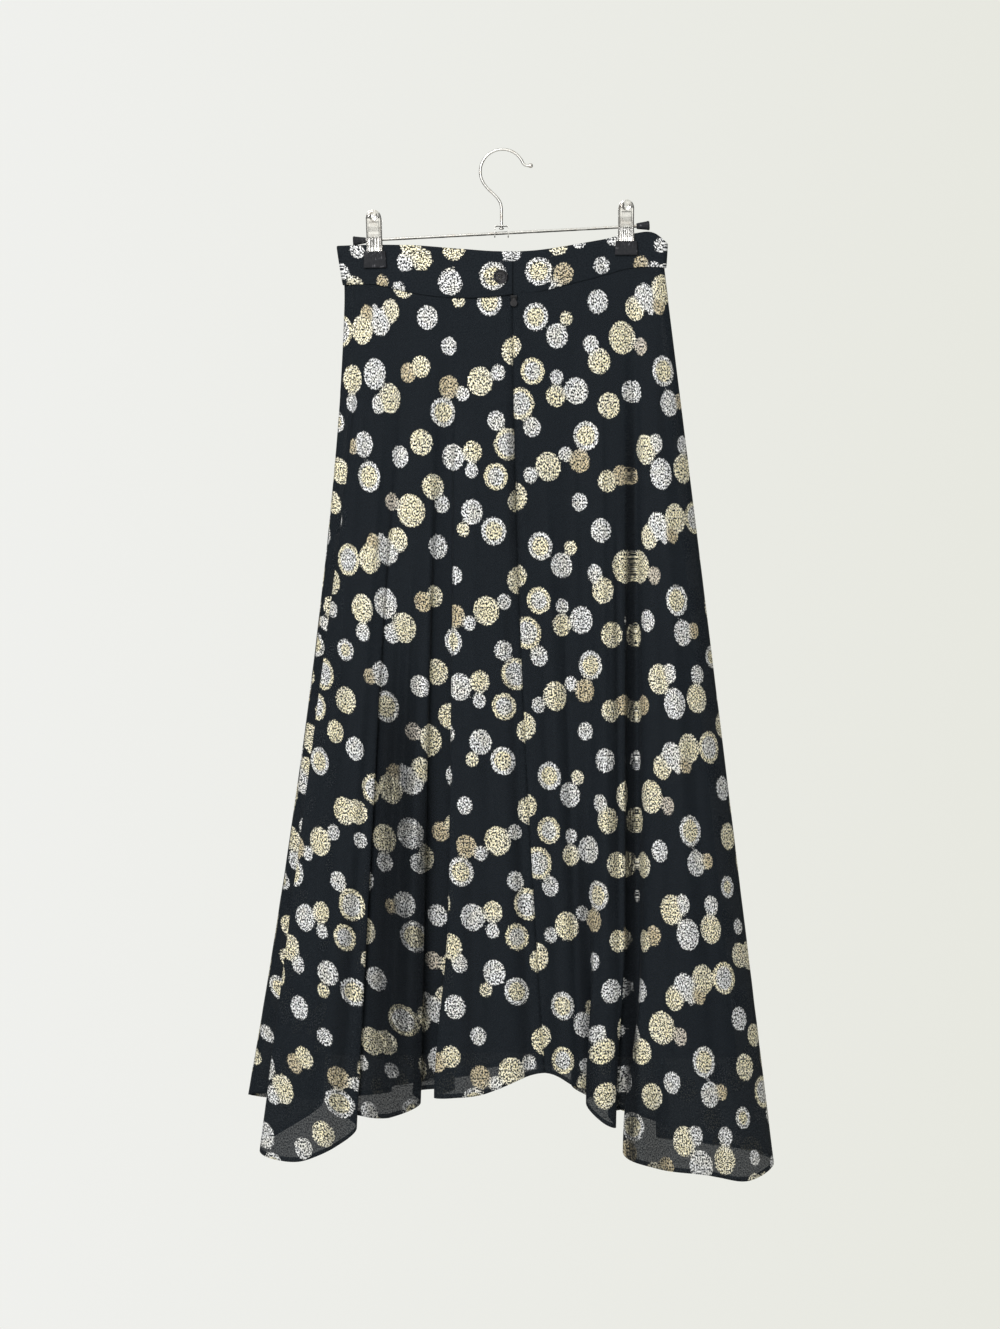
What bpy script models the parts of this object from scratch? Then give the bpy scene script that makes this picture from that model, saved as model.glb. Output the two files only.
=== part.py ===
"""A long flared chiffon skirt with a plain waistband, hanging from a clip hanger.

Units are metres, +Z is up and the wearer's opening faces -Y. The origin is the inner top
of the hanger's hook, where the hanger rests on whatever carries it. The tables are in
millimetres, because that is how a pattern cutter writes them.
"""

import math
from collections import namedtuple

import bmesh
import bpy
import numpy as np
from mathutils import Vector

MM = 0.001

# --- driving dimensions, in millimetres ---------------------------------------------
SHELL_WALL = 1.0
LINING_WALL = 1.0
BAND_WALL = 1.5
SEAM_GAP = 0.3
WAIST_GAP = 0.45  # between the waistband's lower edge and the skirt's upper edge
WAIST_HALF_DEPTH = 2.6  # middle of the band's wall to the hanger's plane, under a clip
NEAR_BULGE = 4.0  # how far the near waist stands out between the clips
FAR_BULGE = 3.0
LINING_HALF_DEPTH = 1.15
LINING_BULGE = 2.5
BULGE_HALF_WIDTH = 100.0  # the bulge dies out here, just inside each clip
BAND_FLARE_LEFT = 1.040  # the band's upper edge is this much wider than its lower edge
BAND_FLARE_RIGHT = 1.010
OVERLAP_END_X = 9.8  # where the buttonhole end of the band stops
UNDERLAP_END_X = -24.0  # where the button end stops, behind it
OVERLAP_SHIFT = 1.05  # each end moves this far apart from the other in depth
OVERLAP_EASE = 34.0
BAND_COLUMN = 12.0  # how far apart the band's columns are
FLICK_START = 0.76  # share of the length below which a hem corner turns aside
DEPTH_POWER = 1.6
FINE = 16  # points worked out on each stretch between two lines
SHARP_TURN = 50.0  # degrees; a line where the cloth turns by more gets columns beside it
FOLD_ROUND = 9.0  # how far from such a line those columns are
BESIDE_LEAST = 0.2  # as shares of the stretch to the next line, at least and at most
BESIDE_MOST = 0.3
MITRE_LIMIT = 0.75
SOFT_AT_WAIST = 0.7
SOFT_AT_HEM = 2.4

HOOK_WIRE = 2.8
HOOK_RADIUS = 22.2
HOOK_SIDES = 10
HOOK_ARC_START = 216.0  # degrees, where the stem runs into the hook's arc
HOOK_ARC_END = 22.0
HOOK_ARC_STEPS = 20
BAR_DIAMETER = 3.2
BAR_TILT = math.radians(3.0)
BAR_CENTRE_X = -1.0
BAR_CENTRE_Z = -82.5
BAR_LEFT_X = -147.0
BAR_RIGHT_X = 144.5
ROUND_SIDES = 12
YOKE_WIDTH = 14.4
YOKE_DEPTH = 9.0
YOKE_SHEET = 1.5
YOKE_TOP_Z = -74.7
YOKE_HEIGHT = 12.0
CLIP_SHEET = 1.0
CLIP_PLATE_HEIGHT = 42.0
CLIP_HALF_WIDTH = 7.7
CLIP_HALF_WIDTH_LOW = 8.4
CLIP_NARROWED = 0.33  # share of the height by which the plate has its upper width
CLIP_TOP_STEPS = 4
CLIP_TOP_TURN = 82.8  # degrees of the round top that the steps cover
CLIP_TOP_LEAN = 0.1
CLIP_HOLE = 4.2
CLIP_HOLE_DROP = 6.2  # from the plate's top
JAW_WIDTH = 23.2
JAW_THICK = 3.0
JAW_BEVEL = 0.5
SPRING_RADIUS = 3.7
SPRING_LENGTH = 9.0
CUTTER_REACH = 6.0  # how far a cutter runs past the middle of what it cuts

BUTTON_X = -2.0
BUTTON_Z = -126.9
BUTTON_SIDES = 24
BUTTON_HOLE = 1.7
BUTTON_HOLE_PITCH = 3.0
BUTTON_HOLE_SIDES = 8
ZIP_X = 11.2
ZIP_LENGTH = 232.0
ZIP_TAPE_WIDTH = 24.0
ZIP_TAPE_ROWS = 6
ZIP_TAPE_COLUMNS = 3  # the skirt's columns beside the seam that the tape is read from
ZIP_TAPE_DROP = 3.5  # the tape starts this far below the waist seam
SLIDER_PLATE = 1.2
SLIDER_TOP = 1.5  # above the pull's axis
SLIDER_WAIST = -1.3  # where the plate starts to narrow
SLIDER_FOOT = -4.6
SLIDER_FOOT_HALF = 2.0
LUG_REACH = 2.6
LUG_WIDE = 0.8
LUG_HEIGHT = 2.4
LUG_OVERLAP = 0.4  # how far a lug is let into the plate
LUG_MARGIN = 0.2  # from a lug to the plate's edge
LUG_AXIS_SHARE = 0.58  # where the pull's axis lies along a lug's reach
PULL_HINGE_Z = -146.9
PULL_LENGTH = 9.8
PULL_WIDTH = 7.0
PULL_SHEET = 0.8
PULL_BARREL = 1.8
BARREL_LENGTH = 3.4
PULL_NECK_HALF = 0.9
PULL_SHOULDER_HALF = 1.3
PULL_DROP_START = 160.0  # degrees, where the shoulder meets the round end
PULL_DROP_TURN = 220.0

# --- the waistband's edges: x of the lower edge, height of its upper and lower edge --
Edge = namedtuple("Edge", "x top low")
BAND_EDGES = [
    Edge(-159.0, -95.3, -134.4),
    Edge(-126.0, -94.3, -134.6),
    Edge(-92.5, -94.6, -142.6),
    Edge(-40.0, -98.8, -148.2),
    Edge(-6.5, -101.2, -146.6),
    Edge(9.8, -101.3, -144.6),
    Edge(44.5, -98.8, -140.0),
    Edge(62.5, -95.8, -135.4),
    Edge(97.5, -89.3, -126.3),
    Edge(128.0, -83.2, -118.0),
    Edge(152.0, -83.4, -116.6),
    Edge(163.0, -92.5, -117.4),
]

# --- the skirt's folds ---------------------------------------------------------------
# One row is one line down the cloth: where it starts on the waist, where it ends at the
# hem (x, depth and height), how late it moves there (power) and how far the hem corner
# turns aside at the very end (flick). Rows run along the cloth, so a row whose hem_x
# goes back makes a fold that lies under its neighbour.
Line = namedtuple("Line", "name waist_x hem_x hem_y hem_z power flick")
LEFT_SIDE = Line("left_side", -159.0, -256.0, 6.0, -944.0, 1.5, 0.0)
SEAM_LINE = Line("centre_seam", 10.0, 42.5, -21.0, -920.0, 1.7, 0.0)
RIGHT_SIDE = Line("right_side", 163.0, 271.8, -1.0, -1012.0, 1.0, 0.0)
NEAR_LEFT = [
    Line("flap_turn", -145.5, -178.5, -5.0, -950.0, 1.0, 0.0),
    Line("lobe1_edge", -130.5, -242.0, -24.0, -997.0, 1.0, 0.0),
    Line("lobe1_middle", -116.0, -200.0, -33.5, -1006.5, 1.0, 0.0),
    Line("lobe1_right", -102.0, -144.0, -27.5, -974.0, 1.0, 0.0),
    Line("fold1_turn", -90.5, -158.5, -17.0, -961.0, 1.0, 0.0),
    Line("lobe2_middle", -78.5, -117.5, -24.5, -965.0, 1.0, 0.0),
    Line("lobe2_right", -65.5, -80.5, -18.0, -950.0, 1.0, 0.0),
    Line("fold2_turn", -56.5, -90.5, -9.0, -941.0, 1.0, 0.0),
    Line("recess_turn", -51.5, -46.5, -6.0, -938.0, 1.0, 0.0),
    Line("lobe3_edge", -45.5, -57.5, -19.0, -945.0, 1.0, -12.0),
    Line("lobe3_middle", -22.5, -22.5, -25.0, -942.0, 1.0, 0.0),
]
NEAR_RIGHT = [
    Line("lobe3_right", 42.5, 74.5, -17.0, -935.0, 1.3, 0.0),
    Line("fold3_turn", 72.5, 87.5, -10.5, -938.0, 1.0, 10.0),
    Line("lobe4_edge", 89.5, 93.5, -22.0, -949.0, 1.0, -11.0),
    Line("lobe4_middle", 107.5, 103.0, -26.0, -969.5, 1.0, -3.0),
    Line("lobe4_right", 121.5, 122.0, -20.5, -975.0, 1.0, -8.0),
    Line("slit_turn", 126.0, 122.0, -12.0, -962.0, 1.0, -17.0),
    Line("valley", 132.0, 134.0, -5.0, -961.0, 1.0, 4.0),
    Line("lobe5_edge", 138.5, 145.5, -24.0, -1000.0, 1.0, -26.0),
    Line("lobe5_left", 144.5, 161.5, -31.0, -1014.0, 1.0, -8.0),
    Line("lobe5_middle", 150.0, 201.5, -33.5, -1020.0, 1.0, 0.0),
    Line("lobe5_right", 156.5, 244.5, -25.0, -1027.0, 1.0, 0.0),
]
FAR = [
    Line("far_right", 154.0, 250.0, 26.0, -1004.0, 1.0, 0.0),
    Line("far_lobe5", 140.0, 197.5, 33.5, -996.0, 1.0, 0.0),
    Line("far_fold5_edge", 121.0, 153.5, 27.0, -989.0, 1.0, 0.0),
    Line("far_fold5_turn", 110.5, 169.5, 17.5, -980.0, 1.0, 0.0),
    Line("far_lobe4", 86.5, 114.5, 30.0, -961.0, 1.0, 0.0),
    Line("far_fold4_edge", 58.5, 68.5, 28.0, -937.0, 1.0, 0.0),
    Line("far_fold4_turn", 49.5, 83.5, 17.5, -927.0, 1.0, 0.0),
    Line("far_middle", 18.5, 24.5, 22.0, -916.0, 1.0, 0.0),
    Line("far_fold3_turn", -10.5, -42.5, 17.5, -925.0, 1.0, 0.0),
    Line("far_fold3_edge", -19.5, -28.5, 27.0, -927.0, 1.0, 0.0),
    Line("far_lobe3", -42.5, -74.5, 33.0, -934.0, 1.0, 0.0),
    Line("far_fold2_turn", -66.5, -122.5, 17.5, -940.0, 1.0, 0.0),
    Line("far_fold2_edge", -76.5, -110.5, 28.0, -944.0, 1.0, 0.0),
    Line("far_lobe2", -100.5, -155.5, 33.5, -950.0, 1.0, 0.0),
    Line("far_lobe1", -122.5, -198.5, 27.0, -951.0, 1.0, 0.0),
    Line("far_left", -146.0, -238.5, 21.0, -949.0, 1.2, 0.0),
]
LINING_LEFT = Line("lining_left_side", -150.0, -221.0, 9.0, -902.0, 1.5, 0.0)
LINING_RIGHT = Line("lining_right_side", 153.0, 236.0, 7.0, -906.0, 1.0, 0.0)
LINING_NEAR = [
    Line("lining_near_left_turn", -148.2, -214.0, 4.6, -902.5, 1.5, 0.0),
    Line("lining_a", -136.0, -197.0, 2.6, -903.0, 1.3, 0.0),
    Line("lining_b", -100.0, -140.0, 1.2, -905.0, 1.0, 0.0),
    Line("lining_c", -55.0, -75.0, 2.4, -904.0, 1.0, 0.0),
    Line("lining_d", -10.0, -12.0, 1.3, -902.0, 1.0, 0.0),
    Line("lining_e", 35.0, 50.0, 2.4, -903.0, 1.0, 0.0),
    Line("lining_f", 72.0, 99.0, 1.3, -906.0, 1.0, 0.0),
    Line("lining_g", 98.0, 136.0, 1.9, -907.0, 1.0, 0.0),
    Line("lining_h", 122.0, 172.0, 2.3, -908.0, 1.0, 0.0),
    Line("lining_i", 141.0, 215.0, 2.0, -907.0, 1.0, 0.0),
    Line("lining_near_right_turn", 151.2, 231.0, 3.6, -906.5, 1.0, 0.0),
]
LINING_FAR = [
    Line("lining_far_right_turn", 151.2, 231.0, 10.6, -906.5, 1.0, 0.0),
    Line("lining_j", 141.0, 215.0, 12.0, -907.0, 1.0, 0.0),
    Line("lining_k", 105.0, 150.0, 11.6, -908.0, 1.0, 0.0),
    Line("lining_l", 50.0, 65.0, 12.4, -905.0, 1.0, 0.0),
    Line("lining_m", 0.0, 0.0, 11.7, -903.0, 1.0, 0.0),
    Line("lining_n", -50.0, -68.0, 12.4, -904.0, 1.0, 0.0),
    Line("lining_o", -100.0, -140.0, 11.8, -905.0, 1.0, 0.0),
    Line("lining_p", -136.0, -197.0, 12.6, -903.0, 1.3, 0.0),
    Line("lining_far_left_turn", -148.2, -214.0, 12.2, -902.5, 1.5, 0.0),
]

SEAM_NUMBER = 1 + len(NEAR_LEFT)  # the centre seam's place among the ring's lines
RIGHT_NUMBER = SEAM_NUMBER + 1 + len(NEAR_RIGHT)

SHELL_LEVELS = [0.0, 0.06, 0.14, 0.25, 0.38, 0.52, 0.66, 0.78, 0.87, 0.94, 1.0]
LINING_LEVELS = [0.0, 0.08, 0.2, 0.36, 0.56, 0.78, 1.0]

# --- the hanger ------------------------------------------------------------------------
Clip = namedtuple("Clip", "name x plate_low_z jaw_low_z tilt")
CLIPS = [
    Clip("clip_left", -127.7, -102.3, -117.7, math.radians(1.7)),
    Clip("clip_right", 123.6, -92.0, -105.0, math.radians(0.0)),
]
PlateRow = namedtuple("PlateRow", "share y")
PLATE_ROWS = [  # share of the height above the jaw, distance from the bar's plane
    PlateRow(0.0, 5.3),
    PlateRow(0.12, 5.4),
    PlateRow(0.36, 5.9),
    PlateRow(0.60, 8.2),
    PlateRow(0.80, 10.6),
]

WirePoint = namedtuple("WirePoint", "x z radius")
HOOK_STEM = [  # a riveted foot under the yoke, the stem and its bend
    WirePoint(-1.0, -79.0, 1.4),
    WirePoint(-1.0, -78.2, 2.5),
    WirePoint(-1.0, -77.2, 2.5),
    WirePoint(-1.0, -76.9, 1.4),
    WirePoint(-1.0, -60.0, 1.4),
    WirePoint(-1.3, -55.6, 1.4),
    WirePoint(-2.4, -51.6, 1.4),
    WirePoint(-5.2, -47.2, 1.4),
    WirePoint(-9.8, -42.4, 1.4),
    WirePoint(-14.2, -38.4, 1.4),
]
HOOK_TIP = [  # the short level end with its ball
    WirePoint(22.6, -14.3, 1.4),
    WirePoint(25.6, -14.9, 1.4),
    WirePoint(26.8, -14.9, 2.0),
    WirePoint(28.2, -14.9, 2.3),
    WirePoint(29.6, -14.9, 2.0),
    WirePoint(30.4, -14.9, 0.8),
]

TurnPoint = namedtuple("TurnPoint", "x radius")
BUTTON_PROFILE = [  # x runs from the button's back to its face
    TurnPoint(0.0, 0.0),
    TurnPoint(0.0, 5.75),
    TurnPoint(1.35, 7.15),
    TurnPoint(2.4, 7.15),
    TurnPoint(3.0, 6.45),
    TurnPoint(3.0, 5.85),
    TurnPoint(2.15, 4.85),
    TurnPoint(2.15, 0.0),
]
CAP_PROFILE = [  # x is 0 at the bar's end and runs outwards
    TurnPoint(2.5, 0.0),
    TurnPoint(2.5, 4.0),
    TurnPoint(1.6, 4.8),
    TurnPoint(-0.5, 4.3),
    TurnPoint(-9.9, 3.0),
    TurnPoint(-10.5, 2.6),
    TurnPoint(-10.5, 1.9),
    TurnPoint(0.3, 1.9),
    TurnPoint(0.3, 0.0),
]

Look = namedtuple("Look", "colour roughness metallic")
LOOKS = {
    "chiffon": Look((0.020, 0.023, 0.028), 0.70, 0.0),
    "lining": Look((0.008, 0.009, 0.011), 0.60, 0.0),
    "chrome": Look((0.80, 0.80, 0.79), 0.15, 1.0),
    "rubber": Look((0.015, 0.015, 0.017), 0.75, 0.0),
    "button": Look((0.020, 0.020, 0.022), 0.35, 0.0),
    "zip_tape": Look((0.010, 0.010, 0.012), 0.80, 0.0),
    "zip_metal": Look((0.030, 0.030, 0.032), 0.40, 0.0),
}


def clear_scene():
    for thing in list(bpy.data.objects):
        bpy.data.objects.remove(thing, do_unlink=True)


def material(name):
    found = bpy.data.materials.get(name)
    if found:
        return found
    made = bpy.data.materials.new(name)
    made.use_nodes = True
    shader = made.node_tree.nodes["Principled BSDF"]
    look = LOOKS[name]
    shader.inputs["Base Color"].default_value = (*look.colour, 1.0)
    shader.inputs["Roughness"].default_value = look.roughness
    shader.inputs["Metallic"].default_value = look.metallic
    return made


def add_object(name, mesh_data, look, parent):
    thing = bpy.data.objects.new(name, mesh_data)
    mesh_data.materials.append(material(look))
    mesh_data.shade_smooth()
    mesh_data.set_sharp_from_angle(angle=math.radians(35))
    bpy.context.scene.collection.objects.link(thing)
    thing.parent = parent
    return thing


def mesh_from(name, build):
    """A mesh made by build(bm), with its faces turned outwards."""
    bm = bmesh.new()
    build(bm)
    bmesh.ops.recalc_face_normals(bm, faces=bm.faces)
    made = bpy.data.meshes.new(name)
    bm.to_mesh(made)
    bm.free()
    return made


# --- sections of the cloth ---------------------------------------------------------------
def smoothstep(value):
    value = min(max(value, 0.0), 1.0)
    return value * value * (3.0 - 2.0 * value)


def band_edge(x, edge):
    """Height of the waistband's top or low edge at x, on a smooth line through its rows."""
    xs = [row.x for row in BAND_EDGES]
    zs = [getattr(row, edge) for row in BAND_EDGES]
    x = min(max(x, xs[0]), xs[-1])
    i = max(k for k in range(len(xs) - 1) if xs[k] <= x)
    slopes = np.gradient(zs, xs)
    width = xs[i + 1] - xs[i]
    t = (x - xs[i]) / width
    return (
        zs[i] * (1 + 2 * t) * (1 - t) ** 2
        + slopes[i] * width * t * (1 - t) ** 2
        + zs[i + 1] * t * t * (3 - 2 * t)
        + slopes[i + 1] * width * t * t * (t - 1)
    )


def bulge(x):
    """1 between the clips and 0 at and beyond them."""
    return max(0.0, 1.0 - (x / BULGE_HALF_WIDTH) ** 4)


def waist_depth(x, side, half_depth, swell):
    return side * (half_depth + swell * bulge(x))


def line_point(line, side, share, half_depth, swell):
    """A point on one line down the cloth, share of the way from waist to hem."""
    x = line.waist_x + (line.hem_x - line.waist_x) * share**line.power
    x += line.flick * smoothstep((share - FLICK_START) / (1.0 - FLICK_START))
    waist_y = waist_depth(line.waist_x, side, half_depth, swell) if side else 0.0
    y = waist_y + (line.hem_y - waist_y) * (1.0 - (1.0 - share) ** DEPTH_POWER)
    waist_z = band_edge(line.waist_x, "low") - WAIST_GAP
    z = waist_z + (line.hem_z - waist_z) * share
    return np.array([x, y, z])


def smooth_between(points):
    """Points on a centripetal Catmull-Rom curve through a closed ring of points: FINE on
    each stretch, so that point i comes out at i * FINE."""
    count = len(points)
    curve = []
    for i in range(count):
        p0, p1, p2, p3 = (points[(i + k) % count] for k in (-1, 0, 1, 2))
        t1 = np.linalg.norm(p1 - p0) ** 0.5
        t2 = t1 + np.linalg.norm(p2 - p1) ** 0.5
        t3 = t2 + np.linalg.norm(p3 - p2) ** 0.5
        for k in range(FINE):
            t = t1 + (t2 - t1) * k / FINE
            a1 = p0 + (p1 - p0) * t / t1
            a2 = p1 + (p2 - p1) * (t - t1) / (t2 - t1)
            a3 = p2 + (p3 - p2) * (t - t2) / (t3 - t2)
            b1 = a1 + (a2 - a1) * t / t2
            b2 = a2 + (a3 - a2) * (t - t1) / (t3 - t1)
            curve.append(b1 + (b2 - b1) * (t - t1) / (t2 - t1))
    return np.array(curve)


def soften(curve, reach):
    """Rounds a closed curve's corners: each point becomes the mean of those within reach
    along the curve, the near ones counting most."""
    steps = np.linalg.norm(np.roll(curve, -1, axis=0) - curve, axis=1)
    along = np.concatenate([[0.0], np.cumsum(steps)])
    total = along[-1]
    along = along[:-1]
    apart = np.abs(along[:, None] - along[None, :])
    apart = np.minimum(apart, total - apart)
    weights = np.exp(-0.5 * (apart / reach) ** 2) * (steps + np.roll(steps, 1))[None, :]
    return weights @ curve / weights.sum(axis=1, keepdims=True)


def column_places(points, folded):
    """Where the columns stand along a ring of lines: on each line, halfway to the next,
    and in folded cloth close on both sides of a line that it turns at. Returns the places,
    as shares of a stretch added to its number, and each line's own column."""
    count = len(points)
    flat = [np.array([point[0], point[1]]) for point in points]
    steps = [flat[(i + 1) % count] - flat[i] for i in range(count)]
    lengths = [np.linalg.norm(step) for step in steps]
    sharp = []
    for i in range(count):
        turn = np.dot(steps[i - 1], steps[i]) / (lengths[i - 1] * lengths[i])
        sharp.append(folded and turn < math.cos(math.radians(SHARP_TURN)))
    places, own = [], []
    for i in range(count):
        near = min(max(FOLD_ROUND / lengths[i], BESIDE_LEAST), BESIDE_MOST)
        own.append(len(places))
        places.append(float(i))
        if sharp[i]:
            places.append(i + near)
        places.append(i + 0.5)
        if sharp[(i + 1) % count]:
            places.append(i + 1 - near)
    return places, own


def wall_normals(grid, ahead, behind):
    """Which way each point of a wall's middle moves for its faces, a little further at a
    corner so that the wall keeps its thickness. ahead and behind are the steps along the
    wall after and before each point."""
    ahead = ahead / np.linalg.norm(ahead, axis=2, keepdims=True)
    behind = behind / np.linalg.norm(behind, axis=2, keepdims=True)
    normals = np.cross(np.gradient(grid, axis=0), ahead + behind)
    normals /= np.linalg.norm(normals, axis=2, keepdims=True)
    half_turn_cosine = np.linalg.norm(ahead + behind, axis=2, keepdims=True) / 2
    return normals / np.maximum(half_turn_cosine, MITRE_LIMIT)


def ring_grid(rows, levels, half_depth, swells, folded):
    """The middle of a closed wall of cloth, as levels x columns points, its normals, which
    point away from the hollow, and the column of each line. Each row is (line, side of
    the hanger's plane)."""

    def points_at(share):
        return [
            line_point(line, side, share, half_depth, swells[side]) for line, side in rows
        ]

    places, own = column_places(points_at(1.0), folded)
    rings = []
    for share in levels:
        reach = SOFT_AT_WAIST + (SOFT_AT_HEM - SOFT_AT_WAIST) * math.sqrt(share)
        rings.append(soften(smooth_between(points_at(share)), reach))
    fine = np.array(rings)
    low = [int(place * FINE) for place in places]
    part = (np.array(places) * FINE - low)[None, :, None]
    high = [(k + 1) % fine.shape[1] for k in low]
    grid = fine[:, low] * (1 - part) + fine[:, high] * part
    ahead = np.roll(grid, -1, axis=1) - grid
    normals = wall_normals(grid, ahead, np.roll(ahead, 1, axis=1))
    return grid, normals, own


def trim_ends(middle, normals):
    """Pulls the first and last columns in by half a seam gap, so two panels don't meet."""
    for at, way in ((0, 1), (-1, -1)):
        down = np.gradient(middle[:, at], axis=0)
        along = np.cross(normals[:, at], down)
        along /= np.linalg.norm(along, axis=1, keepdims=True)
        middle[:, at] += along * way * SEAM_GAP / 2
    return middle


def wall_mesh(name, middle, normals, wall):
    """A closed wall: the middle surface moved out and in by half the wall, and rims."""
    outer = (middle + normals * wall / 2) * MM
    inner = (middle - normals * wall / 2) * MM
    rows, columns = middle.shape[:2]

    def build(bm):
        faces = []
        sheets = [
            [[bm.verts.new(point) for point in row] for row in sheet]
            for sheet in (outer, inner)
        ]
        for i in range(rows - 1):
            for j in range(columns - 1):
                # both faces of the wall are split along the same, shorter diagonal
                falling = np.linalg.norm(middle[i, j] - middle[i + 1, j + 1])
                rising = np.linalg.norm(middle[i, j + 1] - middle[i + 1, j])
                for number, sheet in enumerate(sheets):
                    a, b = sheet[i][j], sheet[i][j + 1]
                    c, d = sheet[i + 1][j + 1], sheet[i + 1][j]
                    pair = [(a, b, c), (a, c, d)] if falling < rising else [(a, b, d), (b, c, d)]
                    faces += [corners if number else corners[::-1] for corners in pair]
        out, inn = sheets
        for j in range(columns - 1):
            faces.append([out[0][j], out[0][j + 1], inn[0][j + 1], inn[0][j]])
            faces.append([inn[-1][j], inn[-1][j + 1], out[-1][j + 1], out[-1][j]])
        for i in range(rows - 1):
            faces.append([out[i + 1][0], out[i][0], inn[i][0], inn[i + 1][0]])
            faces.append([out[i][-1], out[i + 1][-1], inn[i + 1][-1], inn[i][-1]])
        for corners in faces:
            bm.faces.new(corners)

    return mesh_from(name, build)


def shell_ring():
    """The skirt's whole ring, from the left side seam along the near side and back."""
    rows = [(LEFT_SIDE, 0)]
    rows += [(line, -1) for line in NEAR_LEFT]
    rows += [(SEAM_LINE, -1)]
    rows += [(line, -1) for line in NEAR_RIGHT]
    rows += [(RIGHT_SIDE, 0)]
    rows += [(line, 1) for line in FAR]
    swells = {-1: NEAR_BULGE, 0: 0.0, 1: FAR_BULGE}
    return ring_grid(rows, SHELL_LEVELS, WAIST_HALF_DEPTH, swells, True)


def lining_ring():
    rows = [(LINING_LEFT, 0)]
    rows += [(line, -1) for line in LINING_NEAR]
    rows += [(LINING_RIGHT, 0)]
    rows += [(line, 1) for line in LINING_FAR]
    swells = {-1: LINING_BULGE, 0: 0.0, 1: LINING_BULGE}
    return ring_grid(rows, LINING_LEVELS, LINING_HALF_DEPTH, swells, False)


def panel(name, ring, first, last, wall, look, parent):
    """One panel of a ring, from column first to column last, clear of its neighbours."""
    grid, normals, _ = ring
    columns = [k % grid.shape[1] for k in range(first, last + 1)]
    middle = trim_ends(grid[:, columns], normals[:, columns])
    mesh_data = wall_mesh(name, middle, normals[:, columns], wall)
    return add_object(name, mesh_data, look, parent)


def add_skirt(parent):
    ring = shell_ring()
    seam = ring[2][SEAM_NUMBER]
    right = ring[2][RIGHT_NUMBER]
    whole = ring[0].shape[1]
    panel("near_left_panel", ring, 0, seam, SHELL_WALL, "chiffon", parent)
    panel("near_right_panel", ring, seam, right, SHELL_WALL, "chiffon", parent)
    panel("far_panel", ring, right, whole, SHELL_WALL, "chiffon", parent)
    add_zip_tape(ring, seam, parent)


def add_lining(parent):
    ring = lining_ring()
    right = ring[2][1 + len(LINING_NEAR)]
    whole = ring[0].shape[1]
    panel("lining_near", ring, 0, right, LINING_WALL, "lining", parent)
    panel("lining_far", ring, right, whole, LINING_WALL, "lining", parent)


def add_zip_tape(ring, seam, parent):
    """The zip's tape, made from the panels' own points beside the seam, moved inwards."""
    grid, normals, _ = ring
    behind = SHELL_WALL / 2 + SEAM_GAP + LINING_WALL / 2
    offsets = [ZIP_TAPE_WIDTH * quarter / 4 for quarter in (-2, -1, 0, 1, 2)]
    beside = list(range(seam - ZIP_TAPE_COLUMNS, seam + ZIP_TAPE_COLUMNS + 1))
    top = grid[0, seam, 2] - ZIP_TAPE_DROP
    rows = []
    for share in np.linspace(0.0, 1.0, ZIP_TAPE_ROWS):
        height = top - ZIP_LENGTH * share
        level = np.interp(-height, -grid[:, seam, 2], np.arange(len(SHELL_LEVELS)))
        low = min(int(level), len(SHELL_LEVELS) - 2)
        part = level - low
        ring_here = grid[low] * (1 - part) + grid[low + 1] * part
        normals_here = normals[low] * (1 - part) + normals[low + 1] * part
        back = ring_here - normals_here * behind
        row = []
        for offset in offsets:
            x = back[seam, 0] + offset
            row.append((x, np.interp(x, back[beside, 0], back[beside, 1]), height))
        rows.append(row)
    middle = np.array(rows)
    outward = np.zeros_like(middle)
    outward[:, :, 1] = -1.0
    mesh_data = wall_mesh("zip_tape", middle, outward, LINING_WALL)
    add_object("zip_tape", mesh_data, "zip_tape", parent)


# --- the waistband ---------------------------------------------------------------------
def band_columns():
    """The band's plan from its under end, round the waist, to its upper end, as rows of
    (x, y, True on the near right side and behind the overlap)."""
    depth = WAIST_HALF_DEPTH
    left, right = BAND_EDGES[0].x + depth, BAND_EDGES[-1].x - depth

    def straight(start, end, side, near_right):
        count = round(abs(end - start) / BAND_COLUMN) + 1
        return [
            (x, waist_depth(x, side, depth, NEAR_BULGE if side < 0 else FAR_BULGE), near_right)
            for x in np.linspace(start, end, count)
        ]

    def turn(centre, first_angle):
        angles = [math.radians(first_angle + step) for step in (45, 90, 135)]
        return [
            (centre + depth * math.cos(angle), depth * math.sin(angle), False)
            for angle in angles
        ]

    return (
        straight(UNDERLAP_END_X, right, -1, True)
        + turn(right, -90)
        + straight(right, left, 1, False)
        + turn(left, 90)
        + straight(left, OVERLAP_END_X, -1, False)
    )


def overlap_shift(x, near_right):
    """How far a point of the near band moves in depth so that its two ends overlap."""
    if near_right:
        return OVERLAP_SHIFT * (1 - smoothstep((x - OVERLAP_END_X - 4) / OVERLAP_EASE))
    return -OVERLAP_SHIFT * (1 - smoothstep((UNDERLAP_END_X - 4 - x) / OVERLAP_EASE))


def sheet_normals(middle):
    """The direction square to an open sheet at each of its points."""
    normals = np.cross(np.gradient(middle, axis=0), np.gradient(middle, axis=1))
    return normals / np.linalg.norm(normals, axis=2, keepdims=True)


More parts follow.
